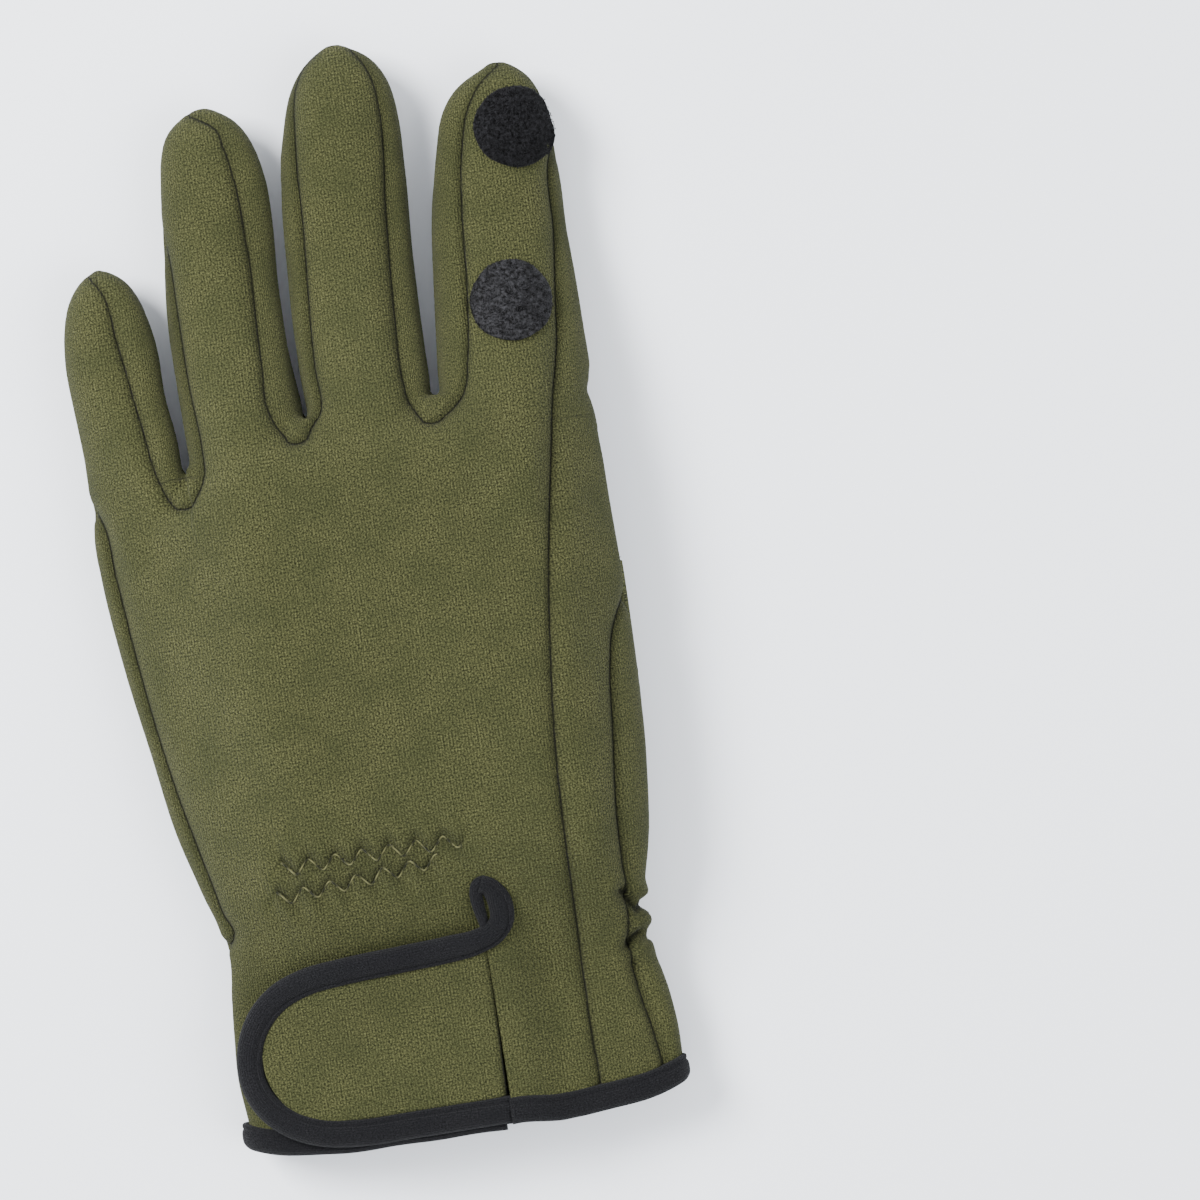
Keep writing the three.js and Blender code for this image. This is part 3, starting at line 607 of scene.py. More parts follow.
def grouped(skin):
    """Cuts the skin along its seams and says which panel each triangle belongs to."""
    skin.cut("cuff")
    skin.triangles = skin.triangles[skin.middle("cuff") > 0]
    for name in ("back", "grip", "thumb"):
        skin.cut(name)
    is_thumb = skin.middle("thumb") > 0
    skin.cut("thumb_grip", 0, is_thumb)
    for level in (-FOLD_GAP, FOLD_GAP):
        grip_top = (skin.middle("thumb") > 0) & (skin.middle("thumb_grip") > 0)
        skin.cut("thumb_fold", level, grip_top)
        on_index = (skin.middle("grip") > 0) & (skin.middle("finger_3") > INDEX_REACH)
        skin.cut("index_fold", level, on_index)
    skin.cut("slit", 0, (skin.middle("back") > 0) & (skin.points[skin.triangles][:, :, 1].max(1) < SLIT_TOP + 3))
    for name in ("finger_0", "finger_1", "finger_2", "finger_3", "thumb_side"):
        skin.cut(name, 0, untaken(skin))
    centre = skin.points[skin.triangles].mean(1)
    m = {name: skin.middle(name) for name in skin.values}
    panel = np.full(len(skin.triangles), "index_side_strip", object)
    low_half = (centre[:, 1] < STRIPS_FROM_Y) & (centre[:, 0] < 0)
    high_half = centre[:, 1] >= STRIPS_FROM_Y
    panel[low_half | (high_half & (m["finger_0"] < 0))] = "little_side_strip"
    between = ["fourchette_little_ring", "fourchette_ring_middle", "fourchette_middle_index"]
    for i, name in enumerate(between):
        panel[high_half & (m[f"finger_{i}"] >= 0) & (m[f"finger_{i + 1}"] < 0)] = name
    panel[(panel == "index_side_strip") & (m["thumb_side"] > 0)] = "thumb_shell"
    panel[m["back"] > 0] = "back_panel"
    in_grip = m["grip"] > 0
    panel[in_grip] = "palm_grip"
    on_index = in_grip & (m["finger_3"] > INDEX_REACH)
    panel[on_index & (m["index_fold"] > 0)] = "index_cap_grip"
    panel[on_index & (np.abs(m["index_fold"]) < FOLD_GAP)] = "gap"
    is_thumb = m["thumb"] > 0
    top = is_thumb & (m["thumb_grip"] > 0)
    panel[is_thumb] = "thumb_shell"
    panel[top] = "thumb_grip"
    panel[top & (m["thumb_fold"] > 0)] = "thumb_cap_grip"
    panel[top & (np.abs(m["thumb_fold"]) < FOLD_GAP)] = "gap"
    return panel


# Short folds in the cloth beside the wrist, and where the cloth is gathered by elastic stitches
CREASES = [
    ([(45.8, 45.6), (47.2, 43.2), (48.7, 40.7), (50.2, 41.6)], 1), ([(45.2, 32.6), (46.6, 34.0), (48.6, 35.4)], 1),
    ([(50.4, 42.8), (55, 43)], 0.7), ([(49.4, 33.6), (55, 33.2)], 0.55),
    ([(45.8, 28), (48.2, 20), (50.0, 10), (50.9, 4)], 0.45),
]
BACK_ZIGZAG = [[(-33.6, 64.1), (-12, 64.6), (9.5, 64.6)], [(-35.9, 57.2), (-16, 58.8), (3.5, 60.7)]]
PALM_ZIGZAG = [[(-36, 41), (0, 42.5), (44, 41)], [(-35, 29), (0, 30.5), (40, 29)]]


def zigzag_swing(x, start):
    """Which side of its row a zigzag thread is on, from -1 to 1."""
    return 2 * np.abs(2 * ((x - start) / ZIGZAG_PITCH % 1) - 1) - 1


def relief(skin):
    """Presses the seams in, rounds the panels beside them and gathers the cloth at the elastic; also keeps each point's
    distance to the seams, creases and zigzag threads, which the finish turns into dark stitch lines at the seams and
    painted shade beside the seams, along the creases and under the threads.
    """
    x, y, z = skin.points.T
    v = skin.values
    top = z > middle_level(x, y)
    seam = np.minimum(np.abs(v["back"]), np.abs(v["grip"]))
    seam = np.minimum(seam, np.where(v["back"] < 0.05, np.abs(v["thumb_side"]), 9))
    on_thumb_seam = np.where(v["thumb"] > 1.5, np.abs(v["thumb_grip"]), np.abs(v["thumb"]))
    seam = np.minimum(np.where(v["thumb"] > -0.06, on_thumb_seam, seam), 9)
    press = 0.75 * np.exp(-((seam / 0.8) ** 2)) + 1.05 * np.exp(-((seam / 2.9) ** 2))
    tip = np.zeros(len(x))
    for i, finger in enumerate(FINGERS):
        near = np.abs(x - finger_x(finger, 1, 0)) < finger["width"] / 2 + 1
        tip = np.where(near, smooth(0.7, 0.95, (y - finger_y(finger, 0)) / finger["length"]), tip)
    press *= 1 - 0.85 * tip
    for line, share in CREASES:
        near = away_from(line, x, y)
        fold = 1.5 * np.exp(-((near / 1.0) ** 2)) - 0.7 * np.exp(-(((near - 3.0) / 1.8) ** 2))
        press += np.where(z > middle_level(x, y) - 6, fold * share, 0)
        # Creases of full share also get a dark line of painted shade along their fold.
        if share == 1:
            seam = np.where(z > middle_level(x, y) - 5, np.minimum(seam, 0.45 * near), seam)
    for lines, upper in ((BACK_ZIGZAG, True), (PALM_ZIGZAG, False)):
        for line in lines:
            line = np.array(line)
            row = np.interp(x, line[:, 0], line[:, 1])
            within = smooth(line[0, 0] - 5, line[0, 0] + 1, x) * (1 - smooth(line[-1, 0] - 1, line[-1, 0] + 5, x))
            wave = 0.5 + 0.5 * np.cos(2 * math.pi * (x + 0.35 * (y - row)) / ZIGZAG_PITCH)
            swing = 2.0 * zigzag_swing(x, line[0, 0])
            thread = np.exp(-(((y - row - swing) / 1.0) ** 2))
            near = 0.5 * np.exp(-(((y - row) / 3.4) ** 2)) + 1.5 * thread
            far = np.exp(-(((y - row) / 7.5) ** 2))
            press += np.where(top == upper, within * (0.5 * near + 0.9 * far * wave), 0)
            # A dark band of painted shade in the gathered cloth under and beside each zigzag thread.
            beside = np.minimum(seam, 0.12 + 0.38 * np.abs(y - row - swing))
            seam = np.where((top == upper) & (within > 0.8), beside, seam)
    swell = 0.28 * np.sin(x / 9.3 + 1.1 * np.sin(y / 23)) * np.sin(y / 13.7 + 0.6) + 0.16 * np.sin(x / 4.1 + y / 6.3)
    swell *= np.where(top, 1, 0.4)
    v["seam"] = seam
    skin.points = skin.points - skin.normals() * (press - swell * smooth(0, 6, seam))[:, None]


def walled(points, faces, out):
    """Gives a panel its cloth thickness: the same faces again on the inside, and a rim round its edge."""
    count = len(points)
    inner = points - CLOTH * out
    inner[:, 2] = np.maximum(inner[:, 2], FLOOR + 0.3)
    edges = np.vstack([faces[:, [0, 1]], faces[:, [1, 2]], faces[:, [2, 0]]])
    there = set(map(tuple, edges.tolist()))
    rim = [(b, a, a + count, b + count) for a, b in there if (b, a) not in there]
    both = np.vstack([faces, faces[:, ::-1] + count])
    return np.vstack([points, inner]), [*map(tuple, both.tolist()), *rim]


def cloth_place(points, thumb=False):
    """Flat places in millimetres for the knit, unrolled round the sides of the hand and fingers."""
    x, y, z = points.T
    centre, half, high = palm_section(y)
    past = y > 160
    number = sum((x > line).astype(int) for line in slit_lines(y))
    for i, finger in enumerate(FINGERS):
        at = np.clip((y - finger_y(finger, 0)) / finger["length"], 0, 0.97)
        row = finger_row(finger, at)
        here = past & (number == i)
        centre = np.where(here, finger_x(finger, at, (row[:, 0] + row[:, 1]) / 2), centre)
        half = np.where(here, (row[:, 1] - row[:, 0]) / 2 * finger["width"] / 2, half)
        high = np.where(here, row[:, 2] * FINGER_THICKNESS / 2, high)
    way = np.where(thumb | (x > centre), 1, -1)
    off = (x - centre) * way
    reach = np.clip(off / half, 0, 1) ** 3
    rise = z - middle_level(x, y)
    upper = off + reach * np.maximum(0, high - rise)
    lower = 2 * (half + high) - off - reach * np.maximum(0, high + rise)
    return np.column_stack([centre + way * (lower + (upper - lower) * smooth(-0.4, 0.4, rise / high)), y])


def to_row(points):
    return (np.asarray(points, float) + HAND_IN_ROW) / 1000


def finished(name, points, faces, nodes, material, values=None, flat=None):
    """A piece of the glove: its mesh in the row frame, its finish, and the solid that it stands for."""
    mesh = mesh_of(name, to_row(points), faces)
    mesh.shade_smooth()
    if values is not None:
        store = mesh.attributes.new("seam", "FLOAT", "POINT")
        store.data.foreach_set("value", np.asarray(values, np.float32))
    if flat is not None:
        corner = np.zeros(len(mesh.loops), int)
        mesh.loops.foreach_get("vertex_index", corner)
        layer = mesh.uv_layers.new(name="cloth")
        layer.data.foreach_set("uv", (np.asarray(flat)[corner] / 10).astype(np.float32).ravel())
    mesh.materials.append(material)
    made = object_of(name, mesh)
    settle(made, nodes)
    return made


def settle(made, nodes):
    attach(made, "root")
    if nodes:
        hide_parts(*nodes)


def link(tree, value, socket):
    if isinstance(value, bpy.types.NodeSocket):
        tree.links.new(value, socket)
    else:
        socket.default_value = value


def node(tree, kind, inputs=None, **settings):
    made = tree.nodes.new(kind)
    for name, value in settings.items():
        setattr(made, name, value)
    for name, value in (inputs or {}).items():
        link(tree, value, made.inputs[name])
    return made


def calc(tree, operation, first, second=0.0, third=0.0):
    """One sum in a node tree, as the socket with its result."""
    made = node(tree, "ShaderNodeMath", operation=operation)
    for socket, value in zip(made.inputs, (first, second, third)):
        link(tree, value, socket)
    return made.outputs[0]


def ramp(tree, value, low, high, start=0.0, end=1.0):
    """A value spread from one range to another, kept within it."""
    made = node(tree, "ShaderNodeMapRange", {
        "Value": value, "From Min": low, "From Max": high, "To Min": start, "To Max": end,
    })
    return made.outputs["Result"]


def mixed(tree, share, first, second):
    made = node(tree, "ShaderNodeMix", data_type="RGBA")
    link(tree, share, made.inputs[0])
    link(tree, first, made.inputs[6])
    link(tree, second, made.inputs[7])
    return made.outputs[2]


def new_group(name, inputs, outputs):
    """An empty shader group with its named sockets, and its two end nodes."""
    tree = bpy.data.node_groups.new(name, "ShaderNodeTree")
    for label, kind, default in inputs:
        socket = tree.interface.new_socket(label, in_out="INPUT", socket_type=f"NodeSocket{kind}")
        if default is not None:
            socket.default_value = default
    for label, kind in outputs:
        tree.interface.new_socket(label, in_out="OUTPUT", socket_type=f"NodeSocket{kind}")
    return tree, tree.nodes.new("NodeGroupInput"), tree.nodes.new("NodeGroupOutput")


def factor_of(made):
    """A texture's plain value, which has a longer name in some versions."""
    return made.outputs["Factor" if "Factor" in made.outputs else "Fac"]


def speckle(tree, place, scale, detail=2.0, rough=0.6):
    made = node(tree, "ShaderNodeTexNoise", {"Vector": place, "Scale": scale, "Detail": detail, "Roughness": rough})
    return factor_of(made)


def make_knit():
    """Jersey knit: wales of small V-shaped stitches; Between rises in the gaps between them, which the finishes darken
    as painted shade.
    """
    inputs = [("Place", "Vector", None), ("Wale", "Float", 0.75), ("Course", "Float", 0.62), ("Uneven", "Float", 0.35)]
    tree, given, result = new_group("jersey knit", inputs, [("Height", "Float"), ("Between", "Float")])
    wander = node(tree, "ShaderNodeTexNoise", {"Vector": given.outputs["Place"], "Scale": 0.55, "Detail": 1.0})
    shifted = node(tree, "ShaderNodeVectorMath", operation="MULTIPLY_ADD")
    link(tree, wander.outputs["Color"], shifted.inputs[0])
    shifted.inputs[1].default_value = (0.5, 0.5, 0)
    link(tree, given.outputs["Place"], shifted.inputs[2])
    parts = node(tree, "ShaderNodeSeparateXYZ", {0: shifted.outputs[0]})
    across = calc(tree, "DIVIDE", parts.outputs["X"], given.outputs["Wale"])
    along = calc(tree, "DIVIDE", parts.outputs["Y"], given.outputs["Course"])
    wale = calc(tree, "MULTIPLY", calc(tree, "PINGPONG", across, 0.5), 2)
    slanted = calc(tree, "MULTIPLY_ADD", wale, 0.55, along)
    course = calc(tree, "MULTIPLY", calc(tree, "PINGPONG", slanted, 0.5), 2)
    body = calc(tree, "POWER", wale, 0.7)
    stitch = calc(tree, "MULTIPLY", body, calc(tree, "MULTIPLY_ADD", course, 0.55, 0.45))
    fuzz = speckle(tree, given.outputs["Place"], 2.6, 3.0)
    uneven = calc(tree, "MULTIPLY", calc(tree, "SUBTRACT", fuzz, 0.5), given.outputs["Uneven"])
    link(tree, calc(tree, "ADD", stitch, uneven), result.inputs["Height"])
    link(tree, calc(tree, "SUBTRACT", 1.0, stitch), result.inputs["Between"])
    return tree


def make_heather():
    """Yarn that varies from dark to light in fine flecks and soft clouds."""
    inputs = [("Place", "Vector", None), ("Dark", "Color", None), ("Light", "Color", None), ("Tint", "Color", None),
              ("Fleck", "Float", 1.6)]
    tree, given, result = new_group("heather", inputs, [("Color", "Color"), ("Fleck", "Float")])
    fine = speckle(tree, given.outputs["Place"], given.outputs["Fleck"], 3.0, 0.75)
    cloud = speckle(tree, given.outputs["Place"], 0.09, 2.0)
    share = ramp(tree, fine, 0.38, 0.64)
    base = mixed(tree, share, given.outputs["Dark"], given.outputs["Light"])
    tinted = mixed(tree, ramp(tree, cloud, 0.35, 0.7, 0.0, 0.4), base, given.outputs["Tint"])
    link(tree, tinted, result.inputs["Color"])
    link(tree, share, result.inputs["Fleck"])
    return tree


def make_lint():
    """Sparse pale specks that dark cloth picks up."""
    inputs = [("Place", "Vector", None), ("Scale", "Float", 0.8), ("Amount", "Float", 0.5)]
    tree, given, result = new_group("lint", inputs, [("Mask", "Float")])
    dots = speckle(tree, given.outputs["Place"], given.outputs["Scale"], 4.0, 0.8)
    limit = calc(tree, "SUBTRACT", 0.78, calc(tree, "MULTIPLY", given.outputs["Amount"], 0.16))
    link(tree, ramp(tree, dots, limit, calc(tree, "ADD", limit, 0.07)), result.inputs["Mask"])
    return tree


def make_rope():
    """Embossed ropes that run in short diagonal strokes, each row slanting the other way."""
    inputs = [("Place", "Vector", None), ("Pitch", "Float", 2.6)]
    tree, given, result = new_group("rope emboss", inputs, [("Height", "Float")])
    parts = node(tree, "ShaderNodeSeparateXYZ", {0: given.outputs["Place"]})
    x = calc(tree, "DIVIDE", parts.outputs["X"], given.outputs["Pitch"])
    y = calc(tree, "DIVIDE", parts.outputs["Y"], given.outputs["Pitch"])
    first = calc(tree, "ADD", x, calc(tree, "MULTIPLY", y, 0.8))
    second = calc(tree, "SUBTRACT", y, calc(tree, "MULTIPLY", x, 0.8))
    strand = calc(tree, "MULTIPLY", calc(tree, "PINGPONG", first, 0.5), 2)
    whole = calc(tree, "FLOOR", first)
    shifted = calc(tree, "MULTIPLY_ADD", whole, 0.5, second)
    cross = calc(tree, "MULTIPLY", calc(tree, "PINGPONG", calc(tree, "MULTIPLY", shifted, 0.9), 0.5), 2)
    rise = calc(tree, "MULTIPLY", calc(tree, "POWER", strand, 0.55), ramp(tree, cross, 0.08, 0.5))
    link(tree, rise, result.inputs["Height"])
    return tree


KNIT = make_knit()
HEATHER = make_heather()
LINT = make_lint()
ROPE = make_rope()


def new_material(name, rough, sheen=0.0, shine=0.1):
    material = bpy.data.materials.new(name)
    material.use_nodes = True
    tree = material.node_tree
    shader = tree.nodes["Principled BSDF"]
    shader.inputs["Roughness"].default_value = rough
    shader.inputs["Specular IOR Level"].default_value = shine
    shader.inputs["Sheen Weight"].default_value = sheen
    shader.inputs["Sheen Roughness"].default_value = 0.45
    return material, tree, shader


def placed(tree, group, inputs):
    made = tree.nodes.new("ShaderNodeGroup")
    made.node_tree = group
    for name, value in inputs.items():
        link(tree, value, made.inputs[name])
    return made


def raised_by(tree, shader, height, distance, under=None):
    """Feeds a height into the shader's normal, over another bump if one is given."""
    bump = node(tree, "ShaderNodeBump", {"Height": height, "Distance": distance, "Strength": 1.0})
    if under is not None:
        link(tree, under, bump.inputs["Normal"])
    link(tree, bump.outputs["Normal"], shader.inputs["Normal"])
    return bump.outputs["Normal"]


def cloth_coordinates(tree):
    """The piece's own flat places, in millimetres."""
    flat = node(tree, "ShaderNodeUVMap", uv_map="cloth")
    made = node(tree, "ShaderNodeVectorMath", {0: flat.outputs[0]}, operation="SCALE")
    made.inputs["Scale"].default_value = 10
    return made.outputs[0]


def object_coordinates(tree):
    """Object places in millimetres."""
    given = node(tree, "ShaderNodeTexCoord")
    made = node(tree, "ShaderNodeVectorMath", {0: given.outputs["Object"]}, operation="SCALE")
    made.inputs["Scale"].default_value = 1000
    return made.outputs[0]


def olive_knit():
    material, tree, shader = new_material("olive knit", 0.95, 0.02)
    place = cloth_coordinates(tree)
    knit = placed(tree, KNIT, {"Place": place, "Wale": 0.74, "Course": 0.62, "Uneven": 0.7})
    heather = placed(tree, HEATHER, {
        "Place": place, "Dark": (0.0035, 0.0045, 0.0016, 1), "Light": (0.121, 0.126, 0.0495, 1),
        "Tint": (0.023, 0.029, 0.0105, 1), "Fleck": 2.2,
    })
    # Painted shade in the gaps between the stitches.
    shaded = calc(tree, "MULTIPLY", knit.outputs["Between"], 0.62)
    colour = mixed(tree, shaded, heather.outputs["Color"], (0.014, 0.015, 0.005, 1))
    # Darkening from the distance attribute: the thin dark line at the seams is their stitching; the wider soft band
    # beside the seams and the dark lines along the creases and under the zigzag threads are painted shade.
    seam = node(tree, "ShaderNodeAttribute", attribute_name="seam")
    edge = calc(tree, "MULTIPLY_ADD", speckle(tree, place, 0.9), 0.3, calc(tree, "SUBTRACT", seam.outputs["Fac"], 0.15))
    line = ramp(tree, edge, 0.03, 0.34, 0.8, 0.0)
    soft = ramp(tree, seam.outputs["Fac"], 0.0, 1.9, 0.34, 0.0)
    dark = calc(tree, "MINIMUM", calc(tree, "ADD", line, soft), 0.9)
    link(tree, mixed(tree, dark, colour, (0.004, 0.0045, 0.002, 1)), shader.inputs["Base Color"])
    link(tree, ramp(tree, heather.outputs["Fleck"], 0, 1, 0.96, 0.84), shader.inputs["Roughness"])
    height = calc(tree, "MULTIPLY_ADD", heather.outputs["Fleck"], 0.35, knit.outputs["Height"])
    raised_by(tree, shader, height, 0.00024)
    return material


def rubber_grip():
    material, tree, shader = new_material("embossed rubber", 0.55, 0.0, 0.3)
    place = object_coordinates(tree)
    turned = node(tree, "ShaderNodeMapping", {0: place})
    turned.inputs["Rotation"].default_value = (0, 0, math.radians(12))
    rope = placed(tree, ROPE, {"Place": turned.outputs[0], "Pitch": 2.5})
    lint = placed(tree, LINT, {"Place": place, "Scale": 0.7, "Amount": 0.35})
    grain = speckle(tree, place, 1.9, 3.0)
    # Painted highlight on the rope tops and painted shade in the hollows between them.
    painted_rope_light = ramp(tree, rope.outputs["Height"], 0.1, 0.9)
    colour = mixed(tree, painted_rope_light, (0.006, 0.0065, 0.007, 1), (0.034, 0.035, 0.038, 1))
    colour = mixed(tree, calc(tree, "MULTIPLY", lint.outputs["Mask"], 0.3), colour, (0.12, 0.12, 0.12, 1))
    seam = node(tree, "ShaderNodeAttribute", attribute_name="seam")
    colour = mixed(tree, ramp(tree, seam.outputs["Fac"], 0.15, 0.8, 0.8, 0.0), colour, (0.003, 0.003, 0.003, 1))
    link(tree, colour, shader.inputs["Base Color"])
    link(tree, ramp(tree, grain, 0.3, 0.7, 0.5, 0.68), shader.inputs["Roughness"])
    fine = raised_by(tree, shader, grain, 0.00004)
    raised_by(tree, shader, rope.outputs["Height"], 0.0007, fine)
    return material


def tape_finish():
    material, tree, shader = new_material("ribbed tape", 0.92, 0.03)
    place = cloth_coordinates(tree)
    knit = placed(tree, KNIT, {"Place": place, "Wale": 0.62, "Course": 0.55, "Uneven": 0.8})
    lint = placed(tree, LINT, {"Place": place, "Scale": 1.3, "Amount": 0.55})
    heather = placed(tree, HEATHER, {
        "Place": place, "Dark": (0.0012, 0.0013, 0.0017, 1), "Light": (0.018, 0.018, 0.020, 1),
        "Tint": (0.0035, 0.0038, 0.005, 1), "Fleck": 2.4,
    })
    # Painted shade in the gaps between the tape's stitches.
    between = calc(tree, "MULTIPLY", knit.outputs["Between"], 0.5)
    colour = mixed(tree, between, heather.outputs["Color"], (0.003, 0.003, 0.004, 1))
    colour = mixed(tree, calc(tree, "MULTIPLY", lint.outputs["Mask"], 0.25), colour, (0.11, 0.115, 0.14, 1))
    link(tree, colour, shader.inputs["Base Color"])
    height = calc(tree, "MULTIPLY_ADD", heather.outputs["Fleck"], 0.5, knit.outputs["Height"])
    raised_by(tree, shader, height, 0.0002)
    return material


def fibre(name, dark, light, rough, scale):
    """Short fibres or hooks: their colour changes from one to the next."""
    material, tree, shader = new_material(name, rough, 0.02)
    place = object_coordinates(tree)
    heather = placed(tree, HEATHER, {"Place": place, "Dark": dark, "Light": light, "Tint": dark, "Fleck": scale})
    lint = placed(tree, LINT, {"Place": place, "Scale": 0.9, "Amount": 0.5})
    specks = calc(tree, "MULTIPLY", lint.outputs["Mask"], 0.35)
    colour = mixed(tree, specks, heather.outputs["Color"], (0.16, 0.16, 0.17, 1))
    link(tree, colour, shader.inputs["Base Color"])
    raised_by(tree, shader, heather.outputs["Fleck"], 0.00015)
    return material


def thread_finish():
    material, tree, shader = new_material("sewing thread", 0.7, 0.1)
    place = object_coordinates(tree)
    # Pale bands along the dark thread are painted glints on its twisted plies; the same bands give a small bump.
    ply_glint_bands = node(tree, "ShaderNodeTexWave", {"Vector": place, "Scale": 0.11, "Distortion": 3.0})
    ply_glint_share = factor_of(ply_glint_bands)
    link(tree, mixed(tree, ply_glint_share, (0.008, 0.009, 0.004, 1), (0.1, 0.1, 0.042, 1)), shader.inputs["Base Color"])
    raised_by(tree, shader, ply_glint_share, 0.00005)
    return material


OLIVE = olive_knit()
RUBBER = rubber_grip()
TAPE = tape_finish()
LOOP = fibre("loop pile", (0.0004, 0.0004, 0.0005, 1), (0.016, 0.016, 0.018, 1), 0.95, 1.2)
HOOK = fibre("hook bristles", (0.0001, 0.0001, 0.0001, 1), (0.030, 0.030, 0.033, 1), 0.6, 0.9)
THREAD = thread_finish()


def panels():
    """Every cloth and rubber panel of the hand and thumb, cut from one skin."""
    points, triangles, apart = one_skin()
    skin = Skin(points, triangles)
    measure(skin)
    skin.values["apart"] = apart
    panel = grouped(skin)
    relief(skin)
    out = skin.normals()
    for name in sorted(set(panel) - {"gap"}):
        faces = skin.triangles[panel == name]
        used, compact = np.unique(faces, return_inverse=True)
        compact = compact.reshape(-1, 3)
        place = skin.points[used]
        values = skin.values["seam"][used]
        normals = out[used]
        spread = cloth_place(place, name == "thumb_shell")
        if name == "back_panel":
            place, compact, source = opened(place, compact)
            values = values[source]
            spread = spread[source]
            normals = normals[source]
        place[:, 2] = np.maximum(place[:, 2], FLOOR + 0.02)
        place, faces = walled(place, compact, normals)
        values = np.tile(values, 2)
        spread = np.tile(spread, (2, 1))
        slot, material = ("grip", RUBBER) if "grip" in name else ("olive_cloth", OLIVE)
        finished(f"{name}_cloth", place, faces, [name], material, values, spread)
    return skin


def opened(points, faces):
    """Opens the slit in the back of the cuff and lifts its far side to the tab's level."""
    centre = points[faces].mean(1)
    far = centre[:, 0] > SLIT_X
    near_slit = (np.abs(points[:, 0] - SLIT_X) < 0.02) & (points[:, 1] < SLIT_TOP - 0.5)
    copies = np.full(len(points), -1)
    copies[near_slit] = len(points) + np.arange(near_slit.sum())
    source = np.concatenate([np.arange(len(points)), np.flatnonzero(near_slit)])
    faces = faces.copy()
    swapped = copies[faces]
    faces = np.where(far[:, None] & (swapped >= 0), swapped, faces)
    place = points[source].copy()
    on_far = np.zeros(len(place), bool)
    on_far[faces[far].ravel()] = True
    place[:, 2] += np.where(on_far, raised(place[:, 0], place[:, 1]), 0)
    return place, faces, source


skin = panels()
surface = BVHTree.FromPolygons(skin.points.tolist(), skin.triangles.tolist())


def top_of(x, y, above=0.0):
    """The height of the back of the glove over a place, or a little above it."""
    hit = surface.ray_cast(Vector((x, y, 80)), Vector((0, 0, -1)))
    level = hit[0].z if hit[0] is not None else middle_level(np.array(x), np.array(y))
    return float(level) + above


def directions(points):
    """The direction along a path at each of its points."""
    points = np.asarray(points, float)
    along = np.gradient(points, axis=0)
    return along / np.maximum(np.linalg.norm(along, axis=1, keepdims=True), 1e-9)


def curve_through(points, step=1.0):
    """Many points on a smooth curve through a few, evenly apart."""
    points = np.array(points, float)
    length = run_along(points)
    fine = spline(np.column_stack([length, points]), np.linspace(0, length[-1], 800))
    run = run_along(fine)
    return points_at(fine, run, np.linspace(0, run[-1], max(4, int(run[-1] / step))))


def sweep(path, ups, profiles):
    """A closed band along a path; each profile is points across and above it. Also returns its flat places."""
    along = directions(path)
    ups = np.asarray(ups, float)
    side = np.cross(along, ups)
    side /= np.linalg.norm(side, axis=1, keepdims=True)
    ups = np.cross(side, along)
    rings = []
    flat = []
    run = run_along(path)
    for i, profile in enumerate(profiles):
        profile = np.asarray(profile)
        rings.append(path[i] + profile[:, :1] * side[i] + profile[:, 1:] * ups[i])
        flat.append(np.column_stack([run_along(profile), np.full(len(profile), run[i])]))
    points, faces = loft(rings)
    return points, faces, np.vstack(flat)


def closed_profile(corners, count):
    """Points evenly round a smooth closed line through a few corners."""
    corners = np.array(corners)
    line = curve_through(np.vstack([corners, corners[:1]]), 0.3)
    run = run_along(line)
    return points_at(line, run, np.linspace(0, run[-1], count, endpoint=False))


def tape_profile(width, thick):
    """A folded tape from its inner edge over the top and round the outer edge, with a pressed line of sewing."""
    half = width / 2
    return closed_profile([
        [-half, -0.3], [-half + 0.35, 0.45], [-half + 0.9, 0.72], [-half + 1.3, 0.28], [-half + 1.75, 0.8], [0, 1.1],
        [half - 1.5, 0.92], [half - 0.5, 0.35], [half, -0.7], [half - 0.3, -thick * 0.75], [half - 1.3, -thick],
        [-half + 0.7, -thick], [-half, -thick * 0.7],
    ], 34)


def tab_level(x, y, over):
    """A level that lies over the back of the hand as the tab does."""
    centre, half, high = palm_section(y)
    share = min(0.985, abs((x - centre) / (half + over)))
    return float(middle_level(x, y) + (high + over) * (1 - share**PALM_POWER) ** (1 / PALM_POWER))


# Middle of the tape round the tab, from its sewn end along the lower edge, round the end and up into the slit
TAB_TAPE = [
    (14.2, -1.75), (11.3, -1.35), (4, -1.3), (-12, -1.3), (-26, -1.2), (-35, 0.2), (-42.2, 3.6), (-47.2, 8.8),
    (-49.5, 15.5), (-48.8, 22.2), (-45.6, 28.6), (-40, 33.6), (-32.5, 36.4), (-24, 37.4), (-9.5, 38.2), (2, 38.8),
    (9.5, 39.6), (13.9, 41.3), (16.1, 44.0), (16.4, 47.4), (15.6, 50.4), (14.0, 52.6), (12.4, 53.3),
]
# Where the tape's end curls back down the slit
TAPE_LIP = [(14.6, 52.8), (13.0, 53.9), (11.6, 53.2), (11.0, 51.2), (11.1, 48.6), (11.5, 45.6), (12.0, 42.2)]


